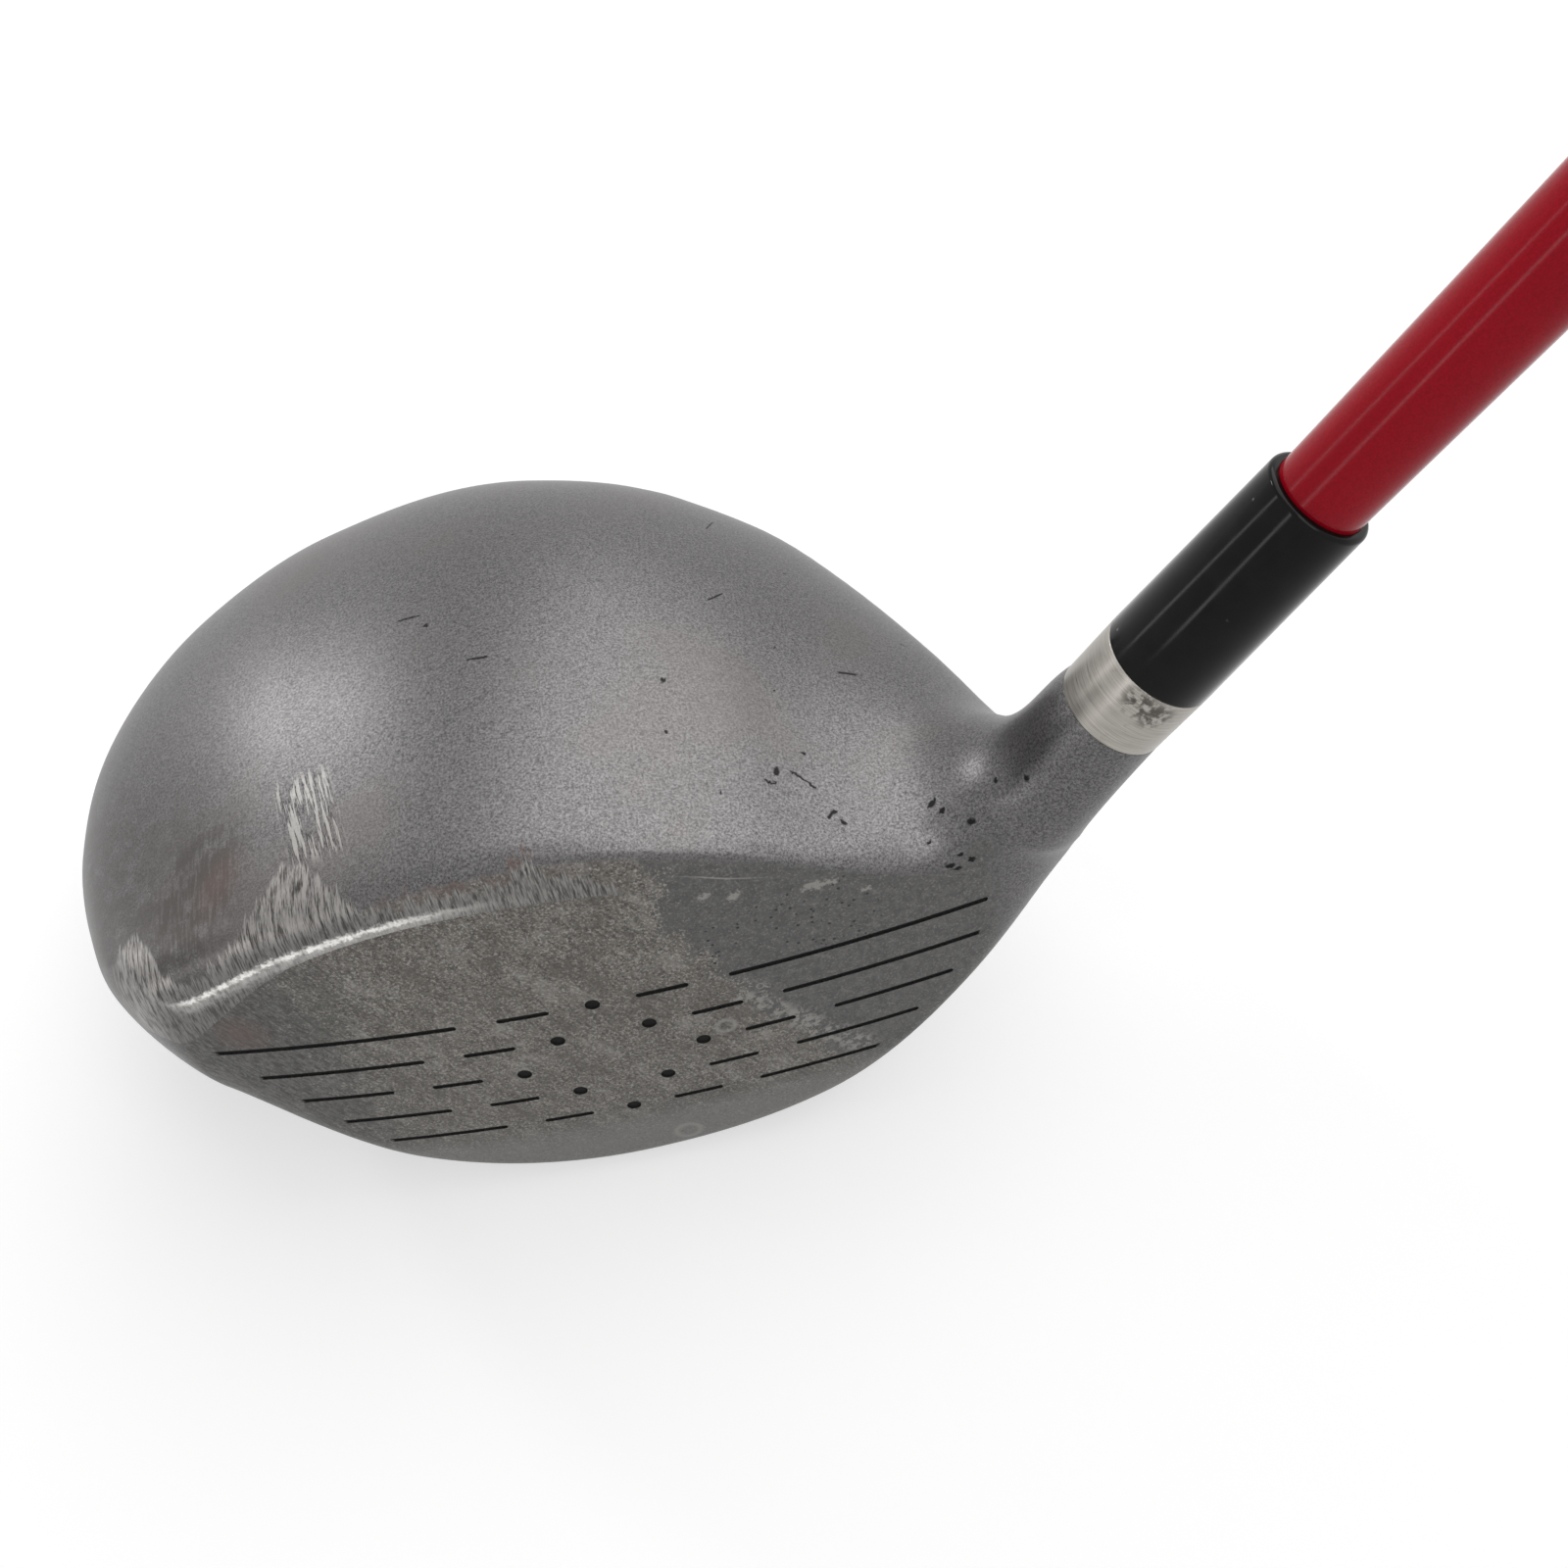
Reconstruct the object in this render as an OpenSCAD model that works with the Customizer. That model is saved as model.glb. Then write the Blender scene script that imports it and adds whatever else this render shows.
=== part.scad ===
// Golf driver standing at address: the sole rests on the ground plane, the face
// looks along -Y, the toe points to -X and the shaft leans to +X.
// The head is lofted from plane sections along a spine that runs from the toe,
// bends at the heel and goes on along the shaft. Each section is made of conics.

/* [Head] */
// Reach of the toe from the face centre
toe_reach = 63.5; // [58:0.5:70]
// Distance of the toe's tip behind the face centre
toe_back = 43; // [36:1:48]
// Distance of the rearmost outline behind the face centre
head_back = 84; // [76:1:96]
// Height of the crown's crest above the face centre
crown_h = 33; // [31:0.5:37]
// Height of the face centre above the ground
face_z = 25; // [24:0.5:28]
// Distance of the resting flat behind the face centre
rest_back = 27; // [20:1:32]
// Depth that the flat takes off the round sole
rest_depth = 0.3; // [0.2:0.05:0.6]
// Wall of the crown
crown_t = 1.2; // [0.8:0.1:1.6]
// Wall of the sole
sole_t = 1.3; // [1:0.1:1.4]

/* [Face] */
// Loft angle of the face
loft = 10; // [8:0.5:12]
// Radius of the face, the same for bulge and roll
face_r = 270; // [220:10:330]
// Reach of the flat of the face above its centre
face_up = 27; // [25:0.5:28.5]
// Reach of the flat of the face below its centre
face_down = 20.5; // [18:0.5:21.5]
// Thickness of the face plate
face_t = 2.2; // [1.8:0.1:2.3]
// Spacing of the score lines
score_pitch = 5.28; // [5:0.02:5.5]
// Width of a score line
score_w = 0.7; // [0.5:0.05:1]
// Radius of a score dot
dot_r = 0.85; // [0.6:0.05:1.2]
// Depth of the score lines and dots
score_depth = 0.4; // [0.25:0.05:0.6]
// Ends of the score lines towards the toe, from the top row down
toe_ends = [43.5, 40.5, 37, 34, 30];
// Ends of the score lines towards the heel, from the top row down
heel_ends = [45, 44, 40, 35.3, 30.3];
// Depth of the paint left in them
paint_t = 0.2; // [0.1:0.02:0.24]

/* [Neck] */
// Lie angle of the shaft to the ground
lie = 56.4; // [55:0.2:58]
// Distance of the shaft's axis from the face centre towards the heel, at its height
hosel_x = 40.5; // [39:0.5:43]
// Distance of the shaft's axis behind the face centre
hosel_back = 13.8; // [13.8:0.1:15]
// Length of the tangents of the bend at the heel
bend = 20; // [19:0.5:22]
// Radius of the neck where it leaves the heel
foot_r = 8; // [7.6:0.1:9]
// Reach of the neck's foot behind the shaft's axis
foot_back = 11; // [9.5:0.1:12]
// Reach of the neck's foot in front of the shaft's axis
foot_front = 6.8; // [6.7:0.1:7.6]
// Radius of the neck at its top
neck_r = 6.1; // [5.9:0.1:6.5]
// Length of the straight neck
neck_len = 16.8; // [12:0.2:22]
// Length of the bare ring on the neck
ring_len = 8.2; // [6:0.2:12]
// Depth of the shaft's bore from the top of the ring
bore_depth = 38; // [34:0.5:40]
// Outer radius of the tube inside the heel
tube_r = 4.9; // [4.7:0.05:5]
// Thickness of the tube's closed end
tube_end = 3; // [2:0.5:4]

/* [Inside] */
// Radius of the weight welded into the sole
weight_r = 10.5; // [6:0.5:11]
// Height of the weight's top above the ground
weight_top = 16; // [14:0.5:18]
// Distance of the weight behind the face centre
weight_back = 56; // [50:1:60]

/* [Ferrule] */
// Length of the ferrule
ferrule_len = 24.2; // [18:0.2:30]
// Wall of the ferrule at its top, around the shaft
ferrule_wall = 0.85; // [0.75:0.05:1.5]
// Rounding of the ferrule's top rim
ferrule_rim = 0.5; // [0.2:0.1:0.7]

/* [Shaft] */
// Length of the club from the ground to the end of the grip, along the shaft
club_len = 1143; // [1090:1:1190]
// Radius of the bare tip in the bore
tip_r = 4.25; // [4.1:0.05:4.3]
// Radius of the painted shaft at the ferrule
shaft_r = 4.6; // [4.55:0.05:5]
// Radius of the butt end
butt_r = 7.6; // [7.2:0.1:8]
// Wall of the shaft
shaft_wall = 1.2; // [0.8:0.1:1.6]
// Thickness of the epoxy around the tip
glue_t = 0.15; // [0.1:0.01:0.2]
// Length of the plug in the tip
plug_len = 14; // [6:1:25]

/* [Grip] */
// Length of the grip without its cap
grip_len = 263; // [240:1:290]
// Rubber wall at the grip's mouth
grip_mouth_wall = 1.7; // [1.2:0.1:2.2]
// Rubber wall at the butt end
grip_butt_wall = 5; // [4:0.1:6]
// Thickness of the tape under the grip
tape_t = 0.3; // [0.2:0.05:0.5]
// Length of the grip's cap
cap_len = 5; // [4:0.5:7]
// Rounding of the cap's edge
cap_round = 3; // [1.5:0.5:3.5]
// Radius of the vent hole in the cap
vent_r = 1.5; // [1:0.1:2.5]

/* [Hidden] */
round_fn = 96;
eps = 0.01;
// Reach of a cut beyond what it cuts
over = 1;

// Places behind the face centre are counted from the resting flat
face_y = -rest_back;
face_at = [0, face_y, face_z];
ball_at = face_at + face_r * [0, cos(loft), -sin(loft)];

// The spine: straight from the toe, an arc at the heel, then the shaft's axis
toe_s = -toe_reach;
arc_s = hosel_x - bend;
arc_r = bend / tan(lie / 2);
arc_len = arc_r * lie * PI / 180;
foot_s = arc_s + arc_len;
neck_s = foot_s + neck_len;
function turn(s) = max(0, min(lie, (s - arc_s) / arc_len * lie));
function past(s) = max(0, s - foot_s);
function spine_x(s) = min(s, arc_s) + arc_r * sin(turn(s)) + past(s) * cos(lie);
function spine_z(s) = face_z + arc_r * (1 - cos(turn(s))) + past(s) * sin(lie);

// The stations: shares of the straight spine, then of the arc, then the neck's top.
// Curves run over the root of the distance from the toe, so that the toe is round.
straight_shares = [0, 0.11, 0.22, 0.457, 0.65, 0.87, 1];
arc_shares = [0.42, 0.7, 0.85, 1];
function root_of(s) = sqrt(max(0, s - toe_s));
stations = concat([for (k = straight_shares) k * root_of(arc_s)],
    [for (k = arc_shares) root_of(arc_s + k * arc_len)], [root_of(neck_s)]);
last = len(stations) - 1;
// The sections swing from upright at the face centre to square on the shaft at the neck's
// foot; they swing ever faster up to a station at the heel, and then ever slower
swing_s = 0;
peak_s = arc_s + arc_shares[1] * arc_len;
function share_of(s, a, b) = max(0, min(1, (s - a) / (b - a)));
function swing(s) = lie / (foot_s - swing_s)
    * ((peak_s - swing_s) * share_of(s, swing_s, peak_s) ^ 2
    + (foot_s - peak_s) * (1 - share_of(s, foot_s, peak_s) ^ 2));
foot_t = stations[last - 1];
heel_t = stations[last - 2];
toe_t = stations[3];
function gap(i) = stations[i + 1] - stations[i];
function rise(v, i) = (v[i + 1] - v[i]) / gap(i);
function slope(v, i) = i == 0 ? rise(v, 0) : i == last ? rise(v, last - 1) :
    (rise(v, i - 1) * gap(i) + rise(v, i) * gap(i - 1)) / (gap(i) + gap(i - 1));
function below(t) = min(last - 1, len([for (k = stations) if (k <= t + 1e-9) 1]) - 1);
function cubic(v, i, q) =
    (2 * q ^ 3 - 3 * q ^ 2 + 1) * v[i] + (q ^ 3 - 2 * q ^ 2 + q) * gap(i) * slope(v, i)
    + (3 * q ^ 2 - 2 * q ^ 3) * v[i + 1] + (q ^ 3 - q ^ 2) * gap(i) * slope(v, i + 1);
function curve(v, t) = let (i = below(t)) cubic(v, i, (t - stations[i]) / gap(i));

// Outlines of the head at the stations, as shares of its sizes; the last two are the neck
neck_end = [foot_r, neck_r];
sole_h = face_z + rest_depth;
crest_list = concat([for (k = [0, 0.21, 0.38, 0.68, 0.88, 1, 0.896, 0.767, 0.592, 0.385])
    k * crown_h], neck_end);
keel_list = concat([for (k = [0, 0.18, 0.37, 0.68, 0.84, 1, 0.885, 0.56, 0.46, 0.42])
    -k * sole_h], -neck_end);
rear_list = concat([for (k = [0, 0.235, 0.385, 0.765, 0.98, 1, 0.81, 0.485, 0.02, -0.29])
    toe_back + k * (head_back - toe_back)], [hosel_back + foot_back, hosel_back + neck_r]);
brow_list = [for (k = [0, 0.1, 0.19, 0.43, 0.88, 1, 0.87, 0.71, 0.5, 0.06, 0, 0]) k * face_up];
chin_list = concat([for (k = [0, 0.1, 0.19, 0.43]) k * face_up],
    [for (k = [0.66, 1, 0.78, 0.39, 0.115]) -k * face_down], [for (k = [0.06, 0, 0]) k * face_up]);

// The crest runs smoothly in its height above the face centre, and on the neck in its height
// above the spine; one gives way to the other at the heel
function climb(s) = spine_z(s) - face_z;
crest_tops = [for (i = [0 : last]) let (s = toe_s + stations[i] ^ 2)
    climb(s) + crest_list[i] * cos(swing(s))];
blend_t = stations[last - 3];
function crest_up(t) = let (s = toe_s + t * t, k = smooth((t - blend_t) / (foot_t - blend_t)))
    (curve(crest_tops, t) - climb(s)) / cos(swing(s)) * (1 - k) + curve(crest_list, t) * k;

// Shares that fade the head's shape out towards the toe and the neck
function smooth(q) = let (p = max(0, min(1, q))) p * p * (3 - 2 * p);
function head_share(t) = smooth((foot_t - t) / (foot_t - stations[last - 4]));
function face_share(t) = smooth((t - stations[2]) / (toe_t - stations[2])) * head_share(t);
chin_t = (stations[2] + toe_t) / 2;
function chin_share(t) = smooth((t - chin_t) / (stations[5] - chin_t))
    * smooth((heel_t - t) / (heel_t - stations[5]));
function neck_share(t) = smooth((t - heel_t) / (foot_t - heel_t));
quarter = sqrt(0.5);
function weight_of(full, share) = quarter + (full - quarter) * share;

// Distances behind the face centre: the face's ball, the crest, the keel and the front
toe_bow = 1.4;
crest_bow = 1.9;
toe_setback = toe_back - ball_back(toe_s, face_z);
function ball_back(x, z) = ball_at.y - face_y
    - sqrt(face_r ^ 2 - (x - ball_at.x) ^ 2 - (z - ball_at.z) ^ 2);
function setback(t) = t < toe_t ? toe_setback * (1 - t / toe_t) ^ toe_bow : 0;
function neck_front(t) = hosel_back - foot_front
    + (foot_front - neck_r) * smooth((t - foot_t) / (stations[last] - foot_t));
function crest_back(t) = hosel_back + (toe_back - hosel_back) * max(0, 1 - t / foot_t) ^ crest_bow;
function keel_back(t) = hosel_back + (toe_back - hosel_back) * max(0, 1 - (t / foot_t) ^ 2);
function front(t, h) = let (p = place(t, [0, h]), k = neck_share(t))
    (ball_back(p.x, p.z) + setback(t)) * (1 - k) + neck_front(t) * k;
function lean(t, h) = (front(t, h + 0.05) - front(t, h - 0.05)) / 0.1 * face_share(t);

// Place of a section's point (distance back, height) in the part's frame
function place(t, p) = let (s = toe_s + t * t, b = swing(s))
    [spine_x(s) - p.y * sin(b), face_y + p.x, spine_z(s) + p.y * cos(b)];
// Edges of the flat of the face on a section: the brow above and the chin below
function has_face(t) = t > toe_t + eps && t < heel_t - eps;
function lip_h(t, up) = has_face(t) ? curve(up ? brow_list : chin_list, t)
    : (curve(brow_list, t) + curve(chin_list, t)) / 2;
function lip(t, up) = let (h = lip_h(t, up)) [front(t, h), h];

// A conic from a to c whose end tangents meet at b
function conic(a, b, c, w, q) = ((1 - q) ^ 2 * a + 2 * q * (1 - q) * w * b + q ^ 2 * c)
    / ((1 - q) ^ 2 + 2 * q * (1 - q) * w + q ^ 2);
// The four conics of a section: rear to crest, crest to brow, chin to keel, keel to rear
rear_crown_w = 0.8;
brow_w = 3;
chin_w = 2.4;
rear_sole_w = 0.95;
function corner(t, up, h) = let (l = lip(t, up)) [l.x + lean(t, l.y) * (h - l.y), h];
function crest(t) = [crest_back(t), crest_up(t)];
function keel(t) = [keel_back(t), curve(keel_list, t)];
function rear(t) = [curve(rear_list, t), 0];
function rear_crown(t, q) = conic(rear(t), [rear(t).x, crest(t).y], crest(t),
    weight_of(rear_crown_w, head_share(t)), q);
function brow(t, q) = conic(crest(t), corner(t, true, crest(t).y), lip(t, true),
    weight_of(brow_w, face_share(t)), q);
function chin(t, q) = conic(lip(t, false), corner(t, false, keel(t).y), keel(t),
    weight_of(chin_w, chin_share(t)), q);
function rear_sole(t, q) = conic(keel(t), [rear(t).x, keel(t).y], rear(t),
    weight_of(rear_sole_w, head_share(t)), q);
function skin(t, k, q) = k == 0 ? rear_crown(t, q) : k == 1 ? brow(t, q) : k == 2 ? chin(t, q) :
    rear_sole(t, q);
// Unit vector into the section at a point of a conic; at the face's edge it runs straight back
dq = 0.001;
function at_lip(k, q) = (k == 1 && q == 1) || (k == 2 && q == 0);
function inward(t, k, q) = at_lip(k, q) ? [1, 0] :
    let (d = skin(t, k, min(1, q + dq)) - skin(t, k, max(0, q - dq))) [-d.y, d.x] / norm(d);
// A point set in from the skin; at the toe the wall runs along the spine
toe_end = 3.5;
function in_plane(t) = t < eps ? 0 : smooth(0.15 + t / toe_end);
function set_in(t, k, q, wall) = let (n = t < eps ? [0, 0] : inward(t, k, q))
    place(t, skin(t, k, q) + wall * in_plane(t) * n) + [wall * (1 - in_plane(t)), 0, 0];

// Grid of the shells and the neck; the face ends on the last ring before the neck's foot
head_rings = 40;
neck_rings = 8;
rear_cells = 10;
brow_cells = 10;
chin_cells = 9;
sole_cells = 10;
function cells(k) = k == 0 ? rear_cells : k == 1 ? brow_cells : k == 2 ? chin_cells : sole_cells;
function steps(k) = [for (i = [0 : cells(k)]) [k, i / cells(k)]];
function rest_of(v) = [for (i = [1 : len(v) - 1]) v[i]];
ring_list = concat([for (i = [0 : head_rings - 1]) heel_t * i / (head_rings - 1)], [foot_t]);
neck_list = [for (i = [0 : neck_rings]) root_of(foot_s + neck_len * i / neck_rings)];
crown_steps = concat(steps(0), rest_of(steps(1)));
sole_steps = concat(steps(2), rest_of(steps(3)));
neck_steps = concat(crown_steps, [for (p = rest_of(sole_steps)) if (p != [3, 1]) p]);

// Triangles of a closed solid between two grids; with a pole, the first row is one point
function flat_list(v) = [for (a = v) for (b = a) b];
function quad(a, b, c, d) = [[a, b, c], [a, c, d]];
function true_faces(v) = [for (f = v) if (f[0] != f[1] && f[1] != f[2] && f[2] != f[0]) f];
function slab_faces(rows, n, pole) = let (
        a = function(i, j) pole && i == 0 ? 0 : i * n + j,
        b = function(i, j) rows * n + a(i, j),
        r = rows - 1,
        c = n - 1)
    true_faces(flat_list(concat(
        [for (i = [0 : r - 1]) for (j = [0 : c - 1])
            quad(a(i, j), a(i, j + 1), a(i + 1, j + 1), a(i + 1, j))],
        [for (i = [0 : r - 1]) for (j = [0 : c - 1])
            quad(b(i, j), b(i + 1, j), b(i + 1, j + 1), b(i, j + 1))],
        [for (i = [0 : r - 1]) quad(a(i, 0), a(i + 1, 0), b(i + 1, 0), b(i, 0))],
        [for (i = [0 : r - 1]) quad(a(i, c), b(i, c), b(i + 1, c), a(i + 1, c))],
        [for (j = [0 : c - 1]) quad(a(0, j), b(0, j), b(0, j + 1), a(0, j + 1))],
        [for (j = [0 : c - 1]) quad(a(r, j), a(r, j + 1), b(r, j + 1), b(r, j))])));
module shell(list, wall) {
    outer = [for (t = ring_list) for (p = list) set_in(t, p[0], p[1], 0)];
    inner = [for (t = ring_list) for (p = list) set_in(t, p[0], p[1], wall)];
    polyhedron(concat(outer, inner), slab_faces(len(ring_list), len(list), true));
}

// Frames of the face and of the shaft's axis
module on_face() translate(face_at) rotate([90 - loft, 0, 0]) children();
axis_at = [hosel_x - face_z / tan(lie), face_y + hosel_back, 0];
module on_axis() translate(axis_at) rotate([0, 90 - lie, 0]) children();
foot_a = face_z / sin(lie) + bend;
neck_a = foot_a + neck_len;
ring_a = neck_a + ring_len;
bore_a = ring_a - bore_depth;
ferrule_a = ring_a + ferrule_len;
bore_r = tip_r + glue_t;
cap_a = club_len - cap_len;
mouth_a = cap_a - grip_len;
module tube(a, b, r, hole) translate([0, 0, a]) difference() {
    cylinder(r = r, h = b - a, $fn = round_fn);
    translate([0, 0, -over]) cylinder(r = hole, h = b - a + 2 * over, $fn = round_fn);
}

// Outline of the face plate, seen along Y, through the same points as the shells' front edges
face_rings = [for (i = [0 : head_rings]) if (has_face(ring_list[i])) i];
face_toe = face_rings[0] - 1;
face_heel = face_rings[len(face_rings) - 1] + 1;
function front_view(i, up) = let (t = ring_list[i], p = place(t, lip(t, up))) [p.x, p.z];
face_outline = concat([for (i = [face_toe : face_heel]) front_view(i, true)],
    [for (i = [face_heel - 1 : -1 : face_toe + 1]) front_view(i, false)]);
prism_reach = 20;
module face_prism() translate([0, face_y + prism_reach, 0]) rotate([90, 0, 0])
    linear_extrude(2 * prism_reach) polygon(face_outline);
ball_fn = 240;
module ball(r) translate(ball_at) sphere(r = r, $fn = ball_fn);

// Score marks: each row has a dot, a dash and a line on either side, and the middle row
// steps out the furthest
mark_fn = 24;
mark_back = 8;
mark_out = 4;
module dash(a, b) {
    translate([a, -score_w / 2]) square([b - a, score_w]);
    for (x = [a, b]) translate([x, 0]) circle(d = score_w, $fn = mark_fn);
}
module score_row(step, toe_end, heel_end) {
    a = score_pitch;
    for (x = step == 0 ? [0] : [-step * a, step * a]) translate([x, 0])
        circle(r = dot_r, $fn = mark_fn);
    dash((step + 1) * a, (step + 2) * a);
    dash(-(step + 2) * a, -(step + 1) * a);
    dash((step + 3) * a, heel_end);
    dash(-toe_end, -(step + 3) * a);
}
middle_row = (len(toe_ends) - 1) / 2;
module score_marks() on_face() translate([0, 0, -mark_back]) linear_extrude(mark_back + mark_out)
    for (i = [0 : len(toe_ends) - 1]) translate([0, (middle_row - i) * score_pitch])
        score_row(middle_row - abs(middle_row - i), toe_ends[i], heel_ends[i]);

module face_plate() color("dimgray") difference() {
    intersection() {
        ball(face_r);
        face_prism();
    }
    ball(face_r - face_t);
    difference() {
        score_marks();
        ball(face_r - score_depth);
    }
}

module score_paint() color("black") intersection() {
    difference() {
        ball(face_r - score_depth + paint_t);
        ball(face_r - score_depth);
    }
    score_marks();
    face_prism();
}

module crown_shell() color("gray") shell(crown_steps, crown_t);

// The resting flat is cut by a block under the ground plane
module ground() {
    reach = toe_reach + head_back;
    translate([-reach, -reach, -2 * rest_depth]) cube([2 * reach, 2 * reach, 2 * rest_depth]);
}
module sole_shell() color("slategray") difference() {
    shell(sole_steps, sole_t);
    ground();
}

module hosel_neck() color("gray") {
    rows = len(neck_list);
    n = len(neck_steps);
    points = [for (t = neck_list) for (p = neck_steps) set_in(t, p[0], p[1], 0)];
    side = flat_list([for (i = [0 : rows - 2]) for (j = [0 : n - 1]) let (k = (j + 1) % n)
        quad(i * n + j, i * n + k, i * n + n + k, i * n + n + j)]);
    ends = [[for (j = [n - 1 : -1 : 0]) j], [for (j = [0 : n - 1]) (rows - 1) * n + j]];
    difference() {
        polyhedron(points, concat(side, ends));
        on_axis() translate([0, 0, foot_a - over])
            cylinder(r = bore_r, h = neck_len + 2 * over, $fn = round_fn);
    }
}

module hosel_ring() color("silver") on_axis() tube(neck_a, ring_a, neck_r, bore_r);

module hosel_tube() color("silver") on_axis() difference() {
    translate([0, 0, bore_a - tube_end])
        cylinder(r = tube_r, h = foot_a - bore_a + tube_end, $fn = round_fn);
    translate([0, 0, bore_a]) cylinder(r = bore_r, h = foot_a - bore_a + over, $fn = round_fn);
}

// The weight stands on the inside of the sole: a plug cut by the sole's own inner facets
module sole_weight() color("dimgray") {
    near = [for (t = ring_list) if (abs(toe_s + t * t) < 2.5 * weight_r) t];
    list = [for (p = steps(3)) if (p[1] < 0.95) p];
    floor_points = [for (t = near) for (p = list) set_in(t, p[0], p[1], sole_t)];
    top_points = [for (p = floor_points) [p.x, p.y, weight_top]];
    intersection() {
        polyhedron(concat(floor_points, top_points), slab_faces(len(near), len(list), false));
        translate([0, face_y + weight_back, 0])
            cylinder(r = weight_r, h = weight_top + over, $fn = round_fn);
    }
}

module epoxy_sleeve() color("tan") on_axis() tube(bore_a, ring_a, bore_r, tip_r);

// A turned piece from a list of [radius, distance along the axis] points
module turned(points) on_axis() rotate_extrude($fn = round_fn) polygon(points);
slip = 0.05;
ferrule_top_r = shaft_r + slip + ferrule_wall;
module ferrule() color("black") {
    edge = [for (q = [0 : 15 : 90])
        [ferrule_top_r - ferrule_rim * (1 - cos(q)), ferrule_a - ferrule_rim * (1 - sin(q))]];
    turned(concat([[tip_r + slip, ring_a], [neck_r, ring_a]], edge, [[shaft_r + slip, ferrule_a]]));
}

function shaft_at(a) = shaft_r + (butt_r - shaft_r) * (a - ferrule_a) / (cap_a - ferrule_a);
module shaft() color("firebrick") turned([
    [tip_r - shaft_wall, bore_a], [tip_r, bore_a], [tip_r, ring_a], [shaft_r, ferrule_a],
    [butt_r, cap_a], [butt_r - shaft_wall, cap_a], [shaft_r - shaft_wall, ferrule_a],
    [tip_r - shaft_wall, ring_a]]);

module tip_plug() color("goldenrod") on_axis() translate([0, 0, bore_a])
    cylinder(r = tip_r - shaft_wall, h = plug_len, $fn = round_fn);

// A sleeve on the shaft under the grip's length, between two offsets from the shaft
module sleeve(in_low, in_high, out_low, out_high) turned([
    [shaft_at(mouth_a) + in_low, mouth_a], [shaft_at(mouth_a) + out_low, mouth_a],
    [butt_r + out_high, cap_a], [butt_r + in_high, cap_a]]);
module grip_tape() color("beige") sleeve(0, 0, tape_t, tape_t);
module grip() color([0.12, 0.12, 0.12])
    sleeve(tape_t, tape_t, tape_t + grip_mouth_wall, tape_t + grip_butt_wall);

module grip_cap() color([0.09, 0.09, 0.09]) {
    r = butt_r + tape_t + grip_butt_wall;
    edge = [for (q = [0 : 15 : 90])
        [r - cap_round * (1 - cos(q)), club_len - cap_round * (1 - sin(q))]];
    turned(concat([[vent_r, cap_a], [r, cap_a]], edge, [[vent_r, club_len]]));
}

face_plate();
score_paint();
crown_shell();
sole_shell();
hosel_neck();
hosel_ring();
hosel_tube();
sole_weight();
epoxy_sleeve();
ferrule();
shaft();
tip_plug();
grip_tape();
grip();
grip_cap();
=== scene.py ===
"""Looks of a golf driver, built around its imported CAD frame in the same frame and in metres.

The head's painted skins repeat the loft of the CAD source on a finer grid. The turned
pieces are spun again with more sides. Sizes below are in millimetres, as in the CAD source.
"""

import math

import bpy
import numpy as np
from mathutils import Matrix, Vector

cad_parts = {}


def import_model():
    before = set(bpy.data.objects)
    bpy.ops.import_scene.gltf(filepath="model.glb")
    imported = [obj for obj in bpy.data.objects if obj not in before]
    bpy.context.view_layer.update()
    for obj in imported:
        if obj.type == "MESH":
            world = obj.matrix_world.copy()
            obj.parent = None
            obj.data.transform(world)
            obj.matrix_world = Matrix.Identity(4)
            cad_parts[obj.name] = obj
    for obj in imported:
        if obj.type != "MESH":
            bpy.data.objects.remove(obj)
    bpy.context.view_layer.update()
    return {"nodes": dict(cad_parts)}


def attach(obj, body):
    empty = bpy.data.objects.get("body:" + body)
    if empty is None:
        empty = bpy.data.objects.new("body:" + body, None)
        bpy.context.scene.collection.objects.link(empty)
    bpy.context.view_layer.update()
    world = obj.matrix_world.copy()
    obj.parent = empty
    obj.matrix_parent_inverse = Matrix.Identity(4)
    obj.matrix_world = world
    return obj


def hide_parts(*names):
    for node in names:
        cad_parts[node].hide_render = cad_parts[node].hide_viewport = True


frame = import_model()
MM = 0.001

# Sizes of the head
TOE_REACH, TOE_BACK, HEAD_BACK = 63.5, 43.0, 84.0
CROWN_H, FACE_Z, REST_BACK, REST_DEPTH = 33.0, 25.0, 27.0, 0.3
CROWN_T, SOLE_T = 1.2, 1.3
LOFT, FACE_R, FACE_UP, FACE_DOWN = math.radians(10), 270.0, 27.0, 20.5
# Sizes of the neck
LIE, HOSEL_X, HOSEL_BACK, BEND = math.radians(56.4), 40.5, 13.8, 20.0
FOOT_R, FOOT_BACK, FOOT_FRONT = 8.0, 11.0, 6.8
NECK_R, NECK_LEN, RING_LEN, BORE_DEPTH = 6.1, 16.8, 8.2, 38.0
# Sizes of the ferrule, the shaft and the grip
SLIP, GLUE_T = 0.05, 0.15
FERRULE_LEN, FERRULE_WALL, FERRULE_RIM = 24.2, 0.85, 0.5
CLUB_LEN, TIP_R, SHAFT_R, BUTT_R, SHAFT_WALL = 1143.0, 4.25, 4.6, 7.6, 1.2
GRIP_LEN, GRIP_MOUTH_WALL, GRIP_BUTT_WALL, TAPE_T = 263.0, 1.7, 5.0, 0.3
CAP_LEN, CAP_ROUND, VENT_R = 5.0, 3.0, 1.5

# The face's ball and the spine that the head's sections stand on
FACE_Y = -REST_BACK
BALL = np.array([0, FACE_Y + FACE_R * math.cos(LOFT), FACE_Z - FACE_R * math.sin(LOFT)])
TOE_S = -TOE_REACH
ARC_S = HOSEL_X - BEND
ARC_R = BEND / math.tan(LIE / 2)
ARC_LEN = ARC_R * LIE
FOOT_S = ARC_S + ARC_LEN
NECK_S = FOOT_S + NECK_LEN


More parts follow.
